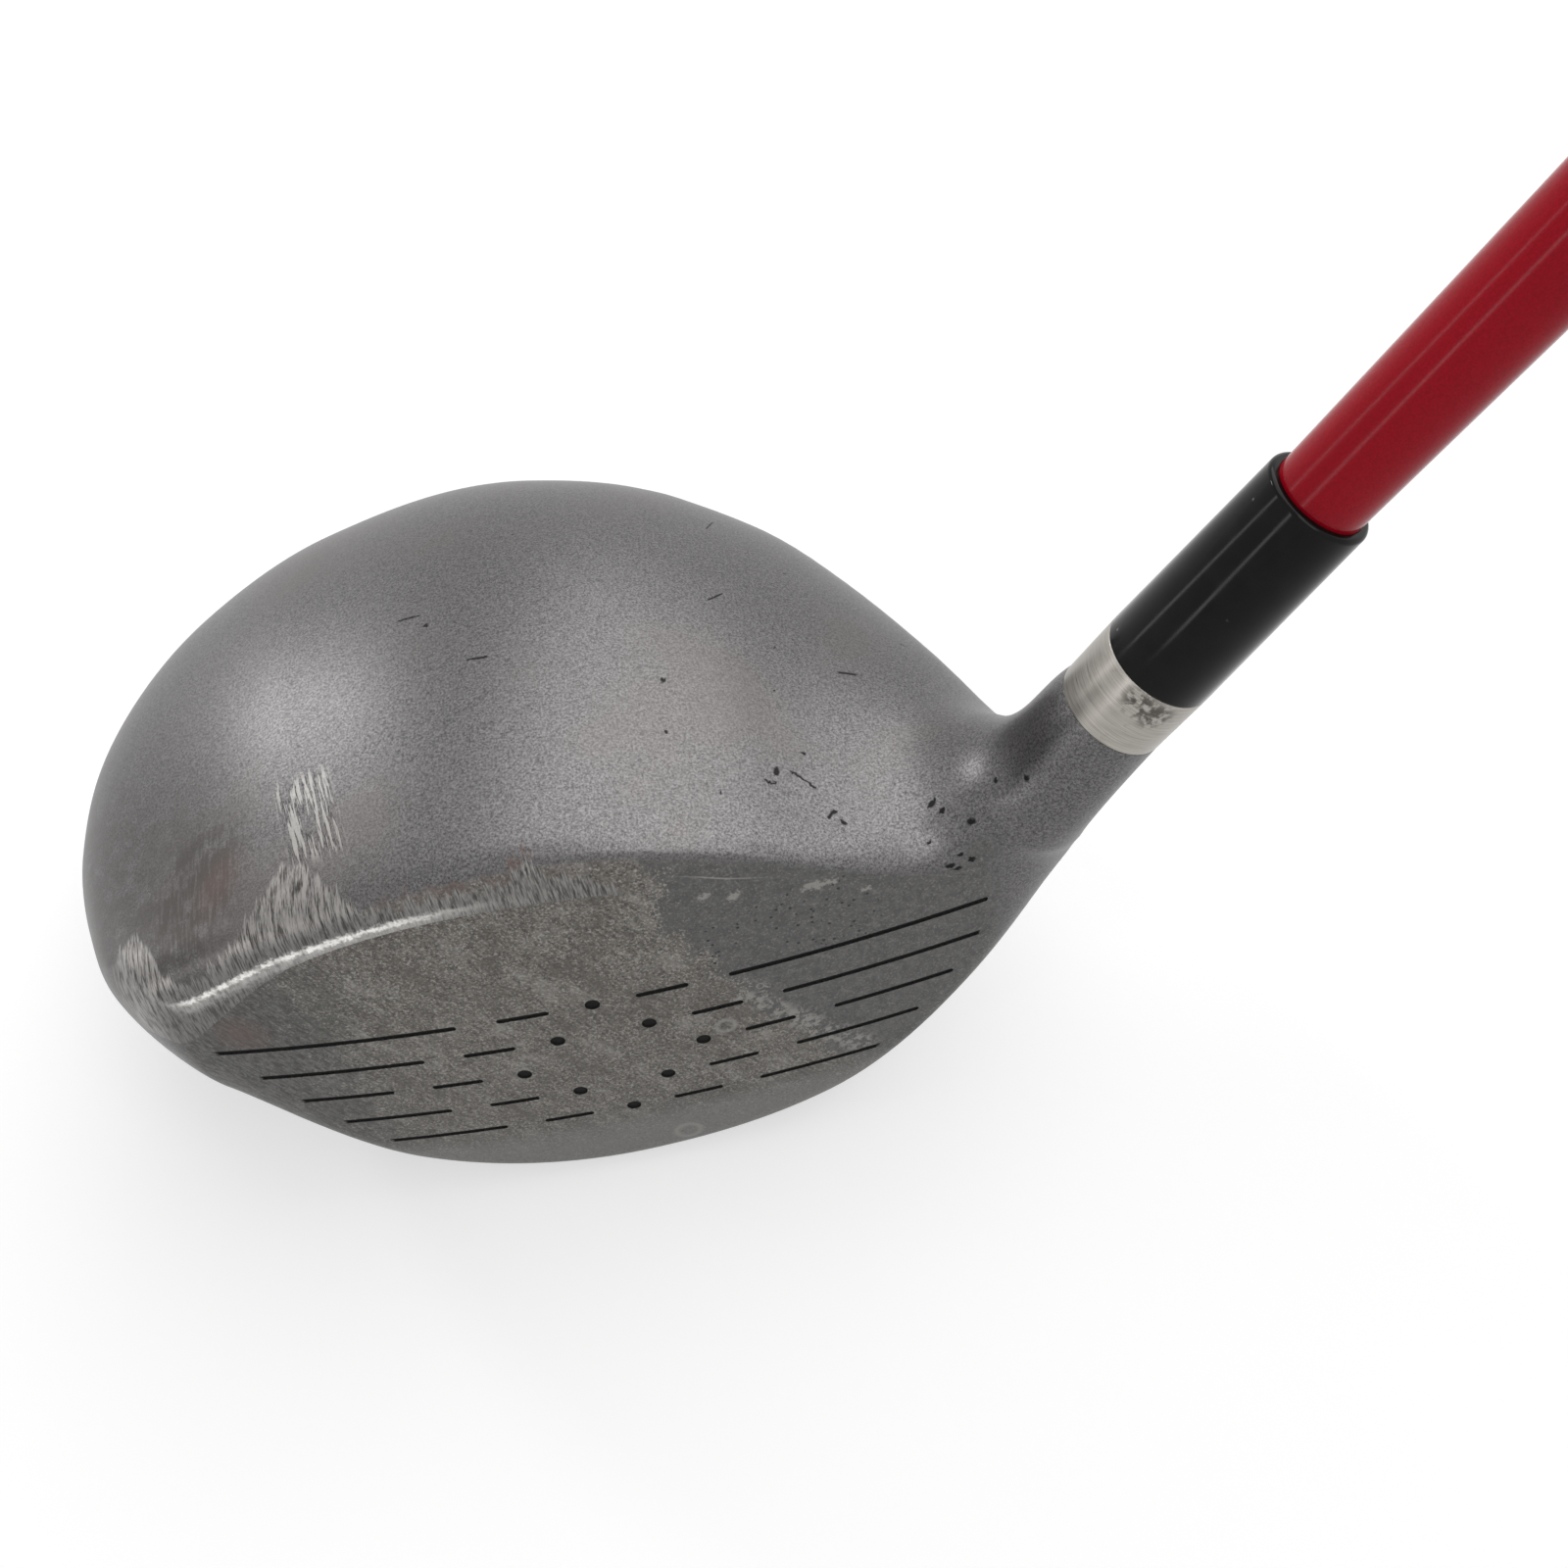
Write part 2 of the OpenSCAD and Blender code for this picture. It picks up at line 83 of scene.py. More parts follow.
def root_of(s):
    """Place t of a section, whose square is the distance along the spine from the toe's tip."""
    return np.sqrt(np.maximum(0, np.asarray(s) - TOE_S))


STRAIGHT_SHARES = np.array([0, 0.11, 0.22, 0.457, 0.65, 0.87, 1])
ARC_SHARES = np.array([0.42, 0.7, 0.85, 1])
SWING_S, PEAK_S = 0.0, ARC_S + ARC_SHARES[1] * ARC_LEN
STATIONS = np.concatenate([
    STRAIGHT_SHARES * root_of(ARC_S),
    root_of(ARC_S + ARC_SHARES * ARC_LEN),
    [root_of(NECK_S)],
])
TOE_T, HEEL_T, FOOT_T, NECK_T = STATIONS[[3, -3, -2, -1]]
CHIN_T = (STATIONS[2] + TOE_T) / 2

# Outlines of the head at the stations, as in the CAD source; the last two are the neck
NECK_END = [FOOT_R, NECK_R]
SOLE_H = FACE_Z + REST_DEPTH
CREST = np.array([0, 0.21, 0.38, 0.68, 0.88, 1, 0.896, 0.767, 0.592, 0.385]) * CROWN_H
CREST = np.concatenate([CREST, NECK_END])
KEEL = np.array([0, 0.18, 0.37, 0.68, 0.84, 1, 0.885, 0.56, 0.46, 0.42]) * SOLE_H
KEEL = -np.concatenate([KEEL, NECK_END])
REAR = np.array([0, 0.235, 0.385, 0.765, 0.98, 1, 0.81, 0.485, 0.02, -0.29]) * (HEAD_BACK - TOE_BACK)
REAR = np.concatenate([TOE_BACK + REAR, [HOSEL_BACK + FOOT_BACK, HOSEL_BACK + NECK_R]])
BROW = np.array([0, 0.1, 0.19, 0.43, 0.88, 1, 0.87, 0.71, 0.5, 0.06, 0, 0]) * FACE_UP
CHIN = np.concatenate([
    np.array([0, 0.1, 0.19, 0.43]) * FACE_UP,
    np.array([0.66, 1, 0.78, 0.39, 0.115]) * -FACE_DOWN,
    np.array([0.06, 0, 0]) * FACE_UP,
])
REAR_CROWN_W, BROW_W, CHIN_W, REAR_SOLE_W, ROUND_W = 0.8, 3.0, 2.4, 0.95, math.sqrt(0.5)
TOE_BOW, CREST_BOW = 1.4, 1.9
LEAN_STEP = 0.05
# Slight swell of the rear outline, which takes out a dent where the spine starts to bend
SWELL, SWELL_S, SWELL_HALF = 0.44, 22.0, 8.0


def smooth(q):
    q = np.clip(q, 0, 1)
    return q * q * (3 - 2 * q)


def curve(values, t):
    """A cubic through one value for each station, at the places t."""
    gap = np.diff(STATIONS)
    rise = np.diff(values) / gap
    inner = (rise[:-1] * gap[1:] + rise[1:] * gap[:-1]) / (gap[1:] + gap[:-1])
    slope = np.concatenate([rise[:1], inner, rise[-1:]])
    i = np.clip(np.searchsorted(STATIONS, t + 1e-9, side="right") - 1, 0, len(gap) - 1)
    q = (t - STATIONS[i]) / gap[i]
    start = (2 * q**3 - 3 * q**2 + 1) * values[i] + (q**3 - 2 * q**2 + q) * gap[i] * slope[i]
    end = (3 * q**2 - 2 * q**3) * values[i + 1] + (q**3 - q**2) * gap[i] * slope[i + 1]
    return start + end


def share_of(s, start, end):
    return np.clip((s - start) / (end - start), 0, 1)


def turn(s):
    """Angle by which the spine has turned up from the ground towards the shaft."""
    return share_of(s, ARC_S, FOOT_S) * LIE


def swing(s):
    """Lean of a section's plane; it gathers from the face's middle to the bend and ends at the neck."""
    rise = (PEAK_S - SWING_S) * share_of(s, SWING_S, PEAK_S) ** 2
    fall = (FOOT_S - PEAK_S) * (1 - share_of(s, FOOT_S, PEAK_S) ** 2)
    return LIE * (rise + fall) / (FOOT_S - SWING_S)


def climb(s):
    """Height of the spine above the face centre."""
    past = np.maximum(0, s - FOOT_S)
    return ARC_R * (1 - np.cos(turn(s))) + past * math.sin(LIE)


def place(t, back, h):
    """A section's point, back from the face centre and h above the spine, in the part's frame."""
    s = TOE_S + t * t
    x = np.minimum(s, ARC_S) + ARC_R * np.sin(turn(s)) + np.maximum(0, s - FOOT_S) * math.cos(LIE)
    b = swing(s)
    point = x - h * np.sin(b), FACE_Y + back, FACE_Z + climb(s) + h * np.cos(b)
    return np.stack(np.broadcast_arrays(*point), -1)


def crest_up(t):
    """Height of the crest above the spine; it runs smoothly in its height above the face centre."""
    s, at = TOE_S + t * t, TOE_S + STATIONS**2
    tops = climb(at) + CREST * np.cos(swing(at))
    k = smooth((t - STATIONS[-4]) / (FOOT_T - STATIONS[-4]))
    return (curve(tops, t) - climb(s)) / np.cos(swing(s)) * (1 - k) + curve(CREST, t) * k


def ball_back(x, z):
    return BALL[1] - FACE_Y - np.sqrt(FACE_R**2 - (x - BALL[0]) ** 2 - (z - BALL[2]) ** 2)


def setback(t):
    return (TOE_BACK - ball_back(TOE_S, FACE_Z)) * np.clip(1 - t / TOE_T, 0, 1) ** TOE_BOW


def neck_front(t):
    return HOSEL_BACK - FOOT_FRONT + (FOOT_FRONT - NECK_R) * smooth((t - FOOT_T) / (NECK_T - FOOT_T))


def front(t, h):
    """Distance of the front skin behind the face centre: the face's ball, then the neck."""
    p = place(t, 0, h)
    k = smooth((t - HEEL_T) / (FOOT_T - HEEL_T))
    return (ball_back(p[..., 0], p[..., 2]) + setback(t)) * (1 - k) + neck_front(t) * k


def head_share(t):
    return smooth((FOOT_T - t) / (FOOT_T - STATIONS[-5]))


def face_share(t):
    return smooth((t - STATIONS[2]) / (TOE_T - STATIONS[2])) * head_share(t)


def chin_share(t):
    return smooth((t - CHIN_T) / (STATIONS[5] - CHIN_T)) * smooth((HEEL_T - t) / (HEEL_T - STATIONS[5]))


def weight(full, share):
    return ROUND_W + (full - ROUND_W) * share


def lean(t, h):
    """Slope of the front skin, which the brow and the chin set out with."""
    return (front(t, h + LEAN_STEP) - front(t, h - LEAN_STEP)) / (2 * LEAN_STEP) * face_share(t)


def lip_h(t, up):
    """Height of the flat face's upper or lower edge; the two meet beyond the face's ends."""
    brow, chin = curve(BROW, t), curve(CHIN, t)
    on_face = (t > TOE_T) & (t < HEEL_T)
    return np.where(on_face, brow if up else chin, (brow + chin) / 2)


def conic(a, b, c, w, q):
    """A point on the conic from a to c with the corner b of weight w."""
    share = (1 - q) ** 2 + 2 * q * (1 - q) * w + q**2
    return [((1 - q) ** 2 * a[i] + 2 * q * (1 - q) * w * b[i] + q**2 * c[i]) / share for i in (0, 1)]


def rear_back(t):
    """Distance of the rear outline behind the face centre."""
    off = np.clip((TOE_S + t * t - SWELL_S) / SWELL_HALF, -1, 1)
    return curve(REAR, t) + SWELL * (1 - off**2) ** 2


def section(t, k, q):
    """Distance back and height on conic k: rear to crest, crest to brow, chin to keel, keel to rear."""
    deep = TOE_BACK - HOSEL_BACK
    rear = (rear_back(t), 0 * t)
    crest = (HOSEL_BACK + deep * np.maximum(0, 1 - t / FOOT_T) ** CREST_BOW, crest_up(t))
    keel = (HOSEL_BACK + deep * np.maximum(0, 1 - (t / FOOT_T) ** 2), curve(KEEL, t))
    if k == 0:
        return conic(rear, (rear[0], crest[1]), crest, weight(REAR_CROWN_W, head_share(t)), q)
    if k == 3:
        return conic(keel, (rear[0], keel[1]), rear, weight(REAR_SOLE_W, head_share(t)), q)
    h = lip_h(t, k == 1)
    lip = (front(t, h), h)
    if k == 1:
        corner = (lip[0] + lean(t, h) * (crest[1] - h), crest[1])
        return conic(crest, corner, lip, weight(BROW_W, face_share(t)), q)
    corner = (lip[0] + lean(t, h) * (keel[1] - h), keel[1])
    return conic(lip, corner, keel, weight(CHIN_W, chin_share(t)), q)


def skin(t, k, q):
    return place(t, *section(t, k, q))


# Grids of the skins: rings along the spine and cells along each conic
HEAD_RINGS, NECK_RINGS = 150, 20
CELLS = [30, 44, 34, 30]
STEP = 1e-3
# The skins' tuck behind the face: its reach, its gap, its least reach, its share of the room and its
# fade at the toe
TUCK, TUCK_BACK, TUCK_LEAST, TUCK_SHARE, TUCK_FADE = 1.0, 0.04, 0.1, 0.45, 0.5


def steps(k):
    return np.linspace(0, 1, CELLS[k] + 1)[None]


def unit(v):
    return v / np.maximum(np.linalg.norm(v, axis=-1, keepdims=True), 1e-12)


def patch(t, k):
    """Points and outward normals of one conic's strip of the skin."""
    q = steps(k)
    across = skin(t, k, np.minimum(1, q + STEP)) - skin(t, k, np.maximum(0, q - STEP))
    along = skin(np.minimum(NECK_T, t + STEP), k, q) - skin(np.maximum(0, t - STEP), k, q)
    normals = unit(np.cross(across, along))
    normals[t[:, 0] < STEP] = [-1, 0, 0]
    return skin(t, k, q), normals


def tuck(t, up):
    """A strip that runs on from the flat's edge, just behind the face plate."""
    room = lip_h(t, True) - lip_h(t, False)
    fade = np.minimum(1, t / TUCK_FADE)
    reach = np.clip(TUCK_SHARE * room, TUCK_LEAST, TUCK) * fade
    h = lip_h(t, up) + (-reach if up else reach)
    return place(t, front(t, h) + TUCK_BACK * fade, h)


def beside(*grids):
    """Grids joined into one, column to column."""
    return np.concatenate(grids, axis=1)


def arc_lengths(points):
    """Distance of each point from its row's last column, along the row."""
    edge = np.linalg.norm(np.diff(points, axis=1), axis=-1)
    from_end = np.cumsum(edge[:, ::-1], axis=1)[:, ::-1]
    return beside(from_end, np.zeros((len(points), 1)))


def grid_faces(index):
    a, b, c, d = index[:-1, :-1], index[:-1, 1:], index[1:, 1:], index[1:, :-1]
    return np.stack([a, b, c, d], -1).reshape(-1, 4)


def border(grid):
    return np.concatenate([grid[0], grid[1:, -1], grid[-1, -2::-1], grid[-2:0:-1, 0]])


def rim_faces(outer, inner):
    """Faces between the edges of two grids of the same shape."""
    a, b = border(outer), border(inner)
    return np.stack([a, b, np.roll(b, -1), np.roll(a, -1)], -1)


def clean_faces(faces):
    """Drops repeated corners, and faces with fewer than three."""
    found = []
    for face in faces.tolist():
        kept = [v for i, v in enumerate(face) if v != face[i - 1]]
        if len(set(kept)) > 2:
            found.append(kept)
    return found


def build(name, points, faces, replaced, normals=None, marks=None, sharp=None):
    """A piece from points in millimetres; marks are named numbers kept at its points."""
    used = np.unique([v for face in faces for v in face])
    number = np.full(len(points), -1)
    number[used] = np.arange(len(used))
    mesh = bpy.data.meshes.new(name)
    corners = [[int(number[v]) for v in face] for face in faces]
    mesh.from_pydata((np.asarray(points)[used] * MM).tolist(), [], corners)
    mesh.polygons.foreach_set("use_smooth", [True] * len(mesh.polygons))
    for mark, values in (marks or {}).items():
        layer = mesh.attributes.new(mark, "FLOAT", "POINT")
        layer.data.foreach_set("value", np.asarray(values, np.float32)[used])
    if sharp is not None:
        mesh.set_sharp_from_angle(angle=sharp)
    if normals is not None:
        mesh.normals_split_custom_set_from_vertices(np.asarray(normals)[used].tolist())
    mesh.validate()
    piece = bpy.data.objects.new(name, mesh)
    bpy.context.scene.collection.objects.link(piece)
    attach(piece, "root")
    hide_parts(*replaced)
    return piece


def painted(name, t, outside, inside, faces, above, upper, replaced):
    """A painted piece from the points and normals of its outside and its inside, with its marks."""
    shape = outside[0].shape[:2]
    points, normals = [np.concatenate(pair).reshape(-1, 3) for pair in zip(outside, inside)]
    values = {"above": above, "along": TOE_S + t * t, "upper": upper}
    marks = {mark: np.tile(np.broadcast_to(value, shape).ravel(), 2) for mark, value in values.items()}
    return build(name, points, clean_faces(faces), replaced, normals, marks)


def half_skin(t, upper):
    """Points, normals and distances from the face of one half's skin, with its tuck."""
    first, second = [patch(t, k) for k in ((0, 1) if upper else (2, 3))]
    points = beside(first[0], second[0][:, 1:])
    normals = beside(first[1], second[1][:, 1:])
    if upper:
        points = beside(points, tuck(t, True))
        normals = beside(normals, normals[:, -1:])
        return points, normals, arc_lengths(points)
    points = beside(tuck(t, False), points)
    normals = beside(normals[:, :1], normals)
    above = arc_lengths(points[:, ::-1])[:, ::-1]
    flat = points[..., 2] < 0
    points[flat, 2] = 0
    normals[flat] = [0, 0, -1]
    return points, normals, above


def shell(name, upper, wall, replaced):
    """A closed half of the head: the skin, its inside and the rim between them."""
    t = np.linspace(0, FOOT_T, HEAD_RINGS + 1)[:, None]
    points, normals, above = half_skin(t, upper)
    inside = points - wall * normals
    inside[0] = points[0] + [wall, 0, 0]
    index = np.arange(points[..., 0].size).reshape(points.shape[:2])
    outer, inner = index.copy(), index + index.size
    outer[0], inner[0] = outer[0, 0], inner[0, 0]
    faces = np.concatenate([grid_faces(outer), grid_faces(inner)[:, ::-1], rim_faces(outer, inner)])
    above = np.maximum(0, above - TUCK)
    return painted(name, t, (points, normals), (inside, -normals), faces, above, upper, replaced)


# The shaft's axis: a place a along it, from the ground, and a circle round it
AXIS_AT = np.array([HOSEL_X - FACE_Z / math.tan(LIE), FACE_Y + HOSEL_BACK, 0])
AXIS = np.array([math.cos(LIE), 0, math.sin(LIE)])
SIDE = np.array([math.sin(LIE), 0, -math.cos(LIE)])
BACK = np.array([0, 1, 0])
CLUB_AXES = (SIDE, BACK, AXIS)
FOOT_A = FACE_Z / math.sin(LIE) + BEND
NECK_A = FOOT_A + NECK_LEN
RING_A = NECK_A + RING_LEN
BORE_A = RING_A - BORE_DEPTH
FERRULE_A = RING_A + FERRULE_LEN
CAP_A = CLUB_LEN - CAP_LEN
MOUTH_A = CAP_A - GRIP_LEN
BORE_R = TIP_R + GLUE_T
TURNED_SIDES = 96
TURNED_SHARP = math.radians(32)
CORNER_STEPS = 9


def neck(name, replaced):
    """The painted neck with its bore, on the same columns as the head's skins."""
    t = root_of(np.linspace(FOOT_S, NECK_S, NECK_RINGS + 1))[:, None]
    parts = [patch(t, k) for k in range(4)]
    points = beside(*[p[0][:, :-1] for p in parts])
    normals = beside(*[p[1][:, :-1] for p in parts])
    off = points - AXIS_AT
    off_axis = unit(off - (off @ AXIS)[..., None] * AXIS)
    inside = AXIS_AT + (off @ AXIS)[..., None] * AXIS + BORE_R * off_axis
    index = np.arange(points[..., 0].size).reshape(points.shape[:2])
    outer = beside(index, index[:, :1])
    inner = outer + index.size
    ends = [
        np.stack([inner[0, :-1], inner[0, 1:], outer[0, 1:], outer[0, :-1]], -1),
        np.stack([outer[-1, :-1], outer[-1, 1:], inner[-1, 1:], inner[-1, :-1]], -1),
    ]
    faces = np.concatenate([grid_faces(outer), grid_faces(inner)[:, ::-1], *ends])
    top = beside(parts[0][0][:, :-1], parts[1][0])
    low = beside(parts[2][0][:, :-1], parts[3][0])
    above = beside(arc_lengths(top)[:, :-1], arc_lengths(low[:, ::-1])[:, :0:-1])
    upper = np.arange(points.shape[1]) < top.shape[1] - 1
    return painted(name, t, (points, normals), (inside, -off_axis), faces, above, upper, replaced)


def turned(name, profile, replaced, dent=None, sides=TURNED_SIDES):
    """A closed ring of revolution about the shaft from [radius, place along] points.

    dent(angle, place) gives how far the surface lies below the profile's radius.
    """
    profile = np.asarray(profile, float)
    angle = np.linspace(0, 2 * math.pi, sides, endpoint=False)[None]
    radius = np.repeat(profile[:, :1], sides, axis=1)
    if dent is not None:
        radius = radius - dent(angle, profile[:, 1:])
    round_dir = np.cos(angle)[..., None] * SIDE + np.sin(angle)[..., None] * BACK
    points = AXIS_AT + profile[:, 1][:, None, None] * AXIS + radius[..., None] * round_dir
    index = np.arange(points[..., 0].size).reshape(points.shape[:2])
    index = beside(index, index[:, :1])
    index = np.concatenate([index, index[:1]], axis=0)
    faces = clean_faces(grid_faces(index))
    return build(name, points.reshape(-1, 3), faces, replaced, sharp=TURNED_SHARP)


def shaft_at(a):
    return SHAFT_R + (BUTT_R - SHAFT_R) * (a - FERRULE_A) / (CAP_A - FERRULE_A)


def corner_arc(radius, a, size, top):
    """A rounded outer edge, at the top or at the bottom of a turned piece."""
    turns = np.radians(np.linspace(0, 90, CORNER_STEPS))
    if top:
        return [[radius - size * (1 - math.cos(q)), a - size * (1 - math.sin(q))] for q in turns]
    return [[radius - size * (1 - math.cos(q)), a + size * (1 - math.sin(q))] for q in turns[::-1]]


def hosel_ring():
    edge = 0.12
    profile = [[BORE_R, NECK_A]]
    profile += corner_arc(NECK_R, NECK_A, edge, False) + corner_arc(NECK_R, RING_A, edge, True)
    return turned("ring_band", profile + [[BORE_R, RING_A]], ["hosel_ring"])


def ferrule():
    foot = 0.2
    top_r = SHAFT_R + SLIP + FERRULE_WALL
    profile = [[TIP_R + SLIP, RING_A]] + corner_arc(NECK_R, RING_A, foot, False)
    profile += corner_arc(top_r, FERRULE_A, FERRULE_RIM, True)
    profile += [[SHAFT_R + SLIP, FERRULE_A]]
    return turned("ferrule_sleeve", profile, ["ferrule"])


def shaft():
    spacing = 20.0
    places = np.arange(FERRULE_A, CAP_A, spacing).tolist() + [CAP_A]
    profile = [[TIP_R - SHAFT_WALL, BORE_A], [TIP_R, BORE_A], [TIP_R, RING_A]]
    profile += [[shaft_at(a), a] for a in places]
    profile += [[shaft_at(a) - SHAFT_WALL, a] for a in places[::-1]]
    return turned("shaft_tube", profile + [[TIP_R - SHAFT_WALL, RING_A]], ["shaft"])


# The grip's pattern: rows of small diamonds between plain bands
GRIP_ROWS, GRIP_SIDES = 264, 144
DIAMONDS, DIAMOND_LEN, DIAMOND_DEPTH, GROOVE_SHARE = 12, 9.0, 0.45, 0.34
PLAIN_ENDS, PLAIN_MIDDLE, BAND_FADE = 14.0, 7.0, 3.0


def grip_dent(angle, a):
    """Depth of the grooves between the diamonds, which fade out at the plain bands."""
    across = DIAMONDS * angle / 2
    up = math.pi * (a - MOUTH_A) / DIAMOND_LEN
    rising, falling = np.abs(np.sin(across - up)), np.abs(np.sin(across + up))
    groove = 1 - smooth(np.minimum(rising, falling) / GROOVE_SHARE)
    ends = smooth((a - MOUTH_A - PLAIN_ENDS) / BAND_FADE) * smooth((CAP_A - PLAIN_ENDS - a) / BAND_FADE)
    middle = smooth((np.abs(a - (MOUTH_A + CAP_A) / 2) - PLAIN_MIDDLE) / BAND_FADE)
    return DIAMOND_DEPTH * groove * ends * middle


def grip():
    mouth_round = 1.2
    low = shaft_at(MOUTH_A) + TAPE_T
    high = BUTT_R + TAPE_T

    def outer(a):
        share = (a - MOUTH_A) / GRIP_LEN
        return low + GRIP_MOUTH_WALL + (high + GRIP_BUTT_WALL - low - GRIP_MOUTH_WALL) * share

    places = np.linspace(MOUTH_A + mouth_round, CAP_A, GRIP_ROWS)
    profile = [[low, MOUTH_A]] + corner_arc(outer(MOUTH_A), MOUTH_A, mouth_round, False)[:-1]
    profile += [[outer(a), a] for a in places]

    def dent(angle, a):
        on_outside = np.zeros((len(a), 1))
        on_outside[1:-1] = 1
        return grip_dent(angle, a) * on_outside

    return turned("grip_sleeve", profile + [[high, CAP_A]], ["grip"], dent, GRIP_SIDES)


def grip_cap():
    radius = BUTT_R + TAPE_T + GRIP_BUTT_WALL
    seam_low, seam_high, seam_slope, seam_r = CAP_A + 0.3, CAP_A + 1.1, 0.2, radius - 0.35
    dish, dish_r, vent_lip, vent_drop = 0.5, 8.0, 1.2, 0.6
    bottom = CLUB_LEN - dish
    profile = [[VENT_R, CAP_A], [radius, CAP_A], [radius, seam_low]]
    profile += [[seam_r, seam_low + seam_slope], [seam_r, seam_high - seam_slope]]
    profile += [[radius, seam_high]] + corner_arc(radius, CLUB_LEN, CAP_ROUND, True)
    profile += [[dish_r, CLUB_LEN], [dish_r - dish, bottom], [VENT_R + vent_lip, bottom]]
    return turned("grip_end", profile + [[VENT_R, bottom - vent_drop]], ["grip_cap"])


# Share of a streak's width over which it is whole
STREAK_CORE = 0.3


class Nodes:
    """A node tree, built by short calls whose inputs are numbers or sockets."""

    def __init__(self, tree):
        self.tree = tree

    def feed(self, socket, value):
        if isinstance(value, bpy.types.NodeSocket):
            self.tree.links.new(value, socket)
        else:
            socket.default_value = value

    def node(self, kind, inputs=None, **settings):
        made = self.tree.nodes.new(kind)
        for key, value in settings.items():
            setattr(made, key, value)
        for key, value in (inputs or {}).items():
            self.feed(made.inputs[key], value)
        return made

    def math(self, operation, a, b=0.0):
        return self.node("ShaderNodeMath", {0: a, 1: b}, operation=operation).outputs[0]

    def fold(self, operation, values):
        total = values[0]
        for value in values[1:]:
            total = self.math(operation, total, value)
        return total

    def add(self, *values):
        return self.fold("ADD", values)

    def minus(self, a, b):
        return self.math("SUBTRACT", a, b)

    def times(self, *values):
        return self.fold("MULTIPLY", values)

    def most(self, *values):
        return self.fold("MAXIMUM", values)

    def mixed(self, share, a, b):
        return self.node("ShaderNodeMix", {0: share, 2: a, 3: b}, data_type="FLOAT").outputs[0]

    def seen_directly(self):
        """1 for rays from the camera, from a glossy surface or through glass."""
        path = self.node("ShaderNodeLightPath").outputs
        return self.most(path["Is Camera Ray"], path["Is Glossy Ray"], path["Is Transmission Ray"])


class Shader(Nodes):
    """A material with one shader; places are in millimetres, and a noise's scale is per millimetre."""

    def __init__(self, name):
        self.material = bpy.data.materials.new(name)
        self.material.use_nodes = True
        super().__init__(self.material.node_tree)
        self.tree.nodes.clear()
        self.surface = self.node("ShaderNodeBsdfPrincipled")
        self.node("ShaderNodeOutputMaterial", {0: self.surface.outputs[0]})
        metres = self.node("ShaderNodeTexCoord").outputs["Object"]
        self.at = self.vector("SCALE", metres, scale=1 / MM)

    def vector(self, operation, a, b=(0, 0, 0), scale=None):
        made = self.node("ShaderNodeVectorMath", {0: a, 1: b}, operation=operation)
        if scale is not None:
            self.feed(made.inputs["Scale"], scale)
        return made.outputs["Value" if operation in ("DOT_PRODUCT", "DISTANCE", "LENGTH") else "Vector"]

    def parts(self, value):
        return self.node("ShaderNodeSeparateXYZ", {0: value}).outputs

    def joined(self, x, y, z=0.0):
        return self.node("ShaderNodeCombineXYZ", {0: x, 1: y, 2: z}).outputs[0]

    def mark(self, name):
        return self.node("ShaderNodeAttribute", attribute_name=name).outputs["Fac"]

    def ramp(self, value, low, high, out_low=0.0, out_high=1.0):
        """out_low at low and out_high at high, smooth between them and level beyond."""
        inputs = {"Value": value, "From Min": low, "From Max": high}
        inputs.update({"To Min": out_low, "To Max": out_high})
        return self.node("ShaderNodeMapRange", inputs, interpolation_type="SMOOTHSTEP").outputs[0]

    def spread(self, noise):
        """A noise's middle range, as a share from 0 to 1."""
        return self.ramp(noise, 0.3, 0.7)

    def varied(self, noise, low, high):
        """A value from low to high that follows a noise."""
        return self.ramp(noise, 0.2, 0.8, low, high)

    def noise(self, scale, at=None, detail=2.0, rough=0.5):
        inputs = {"Vector": at or self.at, "Scale": scale, "Detail": detail, "Roughness": rough}
        return self.node("ShaderNodeTexNoise", inputs).outputs[0]

    def cells(self, scale):
        """Distance to the nearest of scattered points."""
        inputs = {"Vector": self.at, "Scale": scale}
        return self.node("ShaderNodeTexVoronoi", inputs).outputs["Distance"]

    def mix(self, share, a, b):
        made = self.node("ShaderNodeMix", data_type="RGBA")
        for key, value in ((0, share), (6, a), (7, b)):
            self.feed(made.inputs[key], value)
        return made.outputs[2]

    def spot(self, centre, radius, soft, at=None):
        """1 inside a ball, fading out over soft times its radius to either side of its edge."""
        away = self.vector("DISTANCE", at or self.at, centre)
        return self.ramp(away, radius * (1 + soft), radius * (1 - soft))

    def hump(self, value, centre, half):
        """1 at a centre, falling smoothly to 0 at half to either side."""
        away = self.math("ABSOLUTE", self.minus(value, centre))
        return self.ramp(away, half, 0.0)

    def oval(self, a, b, centre, half):
        """1 at a place of two measures, falling smoothly to 0 at half to either side of it."""
        return self.times(self.hump(a, centre[0], half[0]), self.hump(b, centre[1], half[1]))

    def streak(self, at, start, end, width):
        """1 on a line between two places of a plane, fading out at width to either side."""
        run = (end[0] - start[0], end[1] - start[1], 0)
        off = self.vector("SUBTRACT", at, (start[0], start[1], 0))
        share = self.math("DIVIDE", self.vector("DOT_PRODUCT", off, run), run[0] ** 2 + run[1] ** 2)
        share = self.math("MINIMUM", self.most(share, 0.0), 1.0)
        away = self.vector("DISTANCE", off, self.vector("SCALE", run, scale=share))
        return self.ramp(away, width, STREAK_CORE * width)

    def stretched(self, scales, directions=None):
        """Places measured along three directions and scaled by one number each."""
        if directions is None:
            return self.vector("MULTIPLY", self.at, scales)
        found = [self.vector("DOT_PRODUCT", self.at, direction) for direction in directions]
        return self.joined(*[self.times(value, k) for value, k in zip(found, scales)])

    def bump(self, height, strength, depth):
        inputs = {"Height": height, "Strength": strength, "Distance": depth * MM}
        return self.node("ShaderNodeBump", inputs).outputs[0]

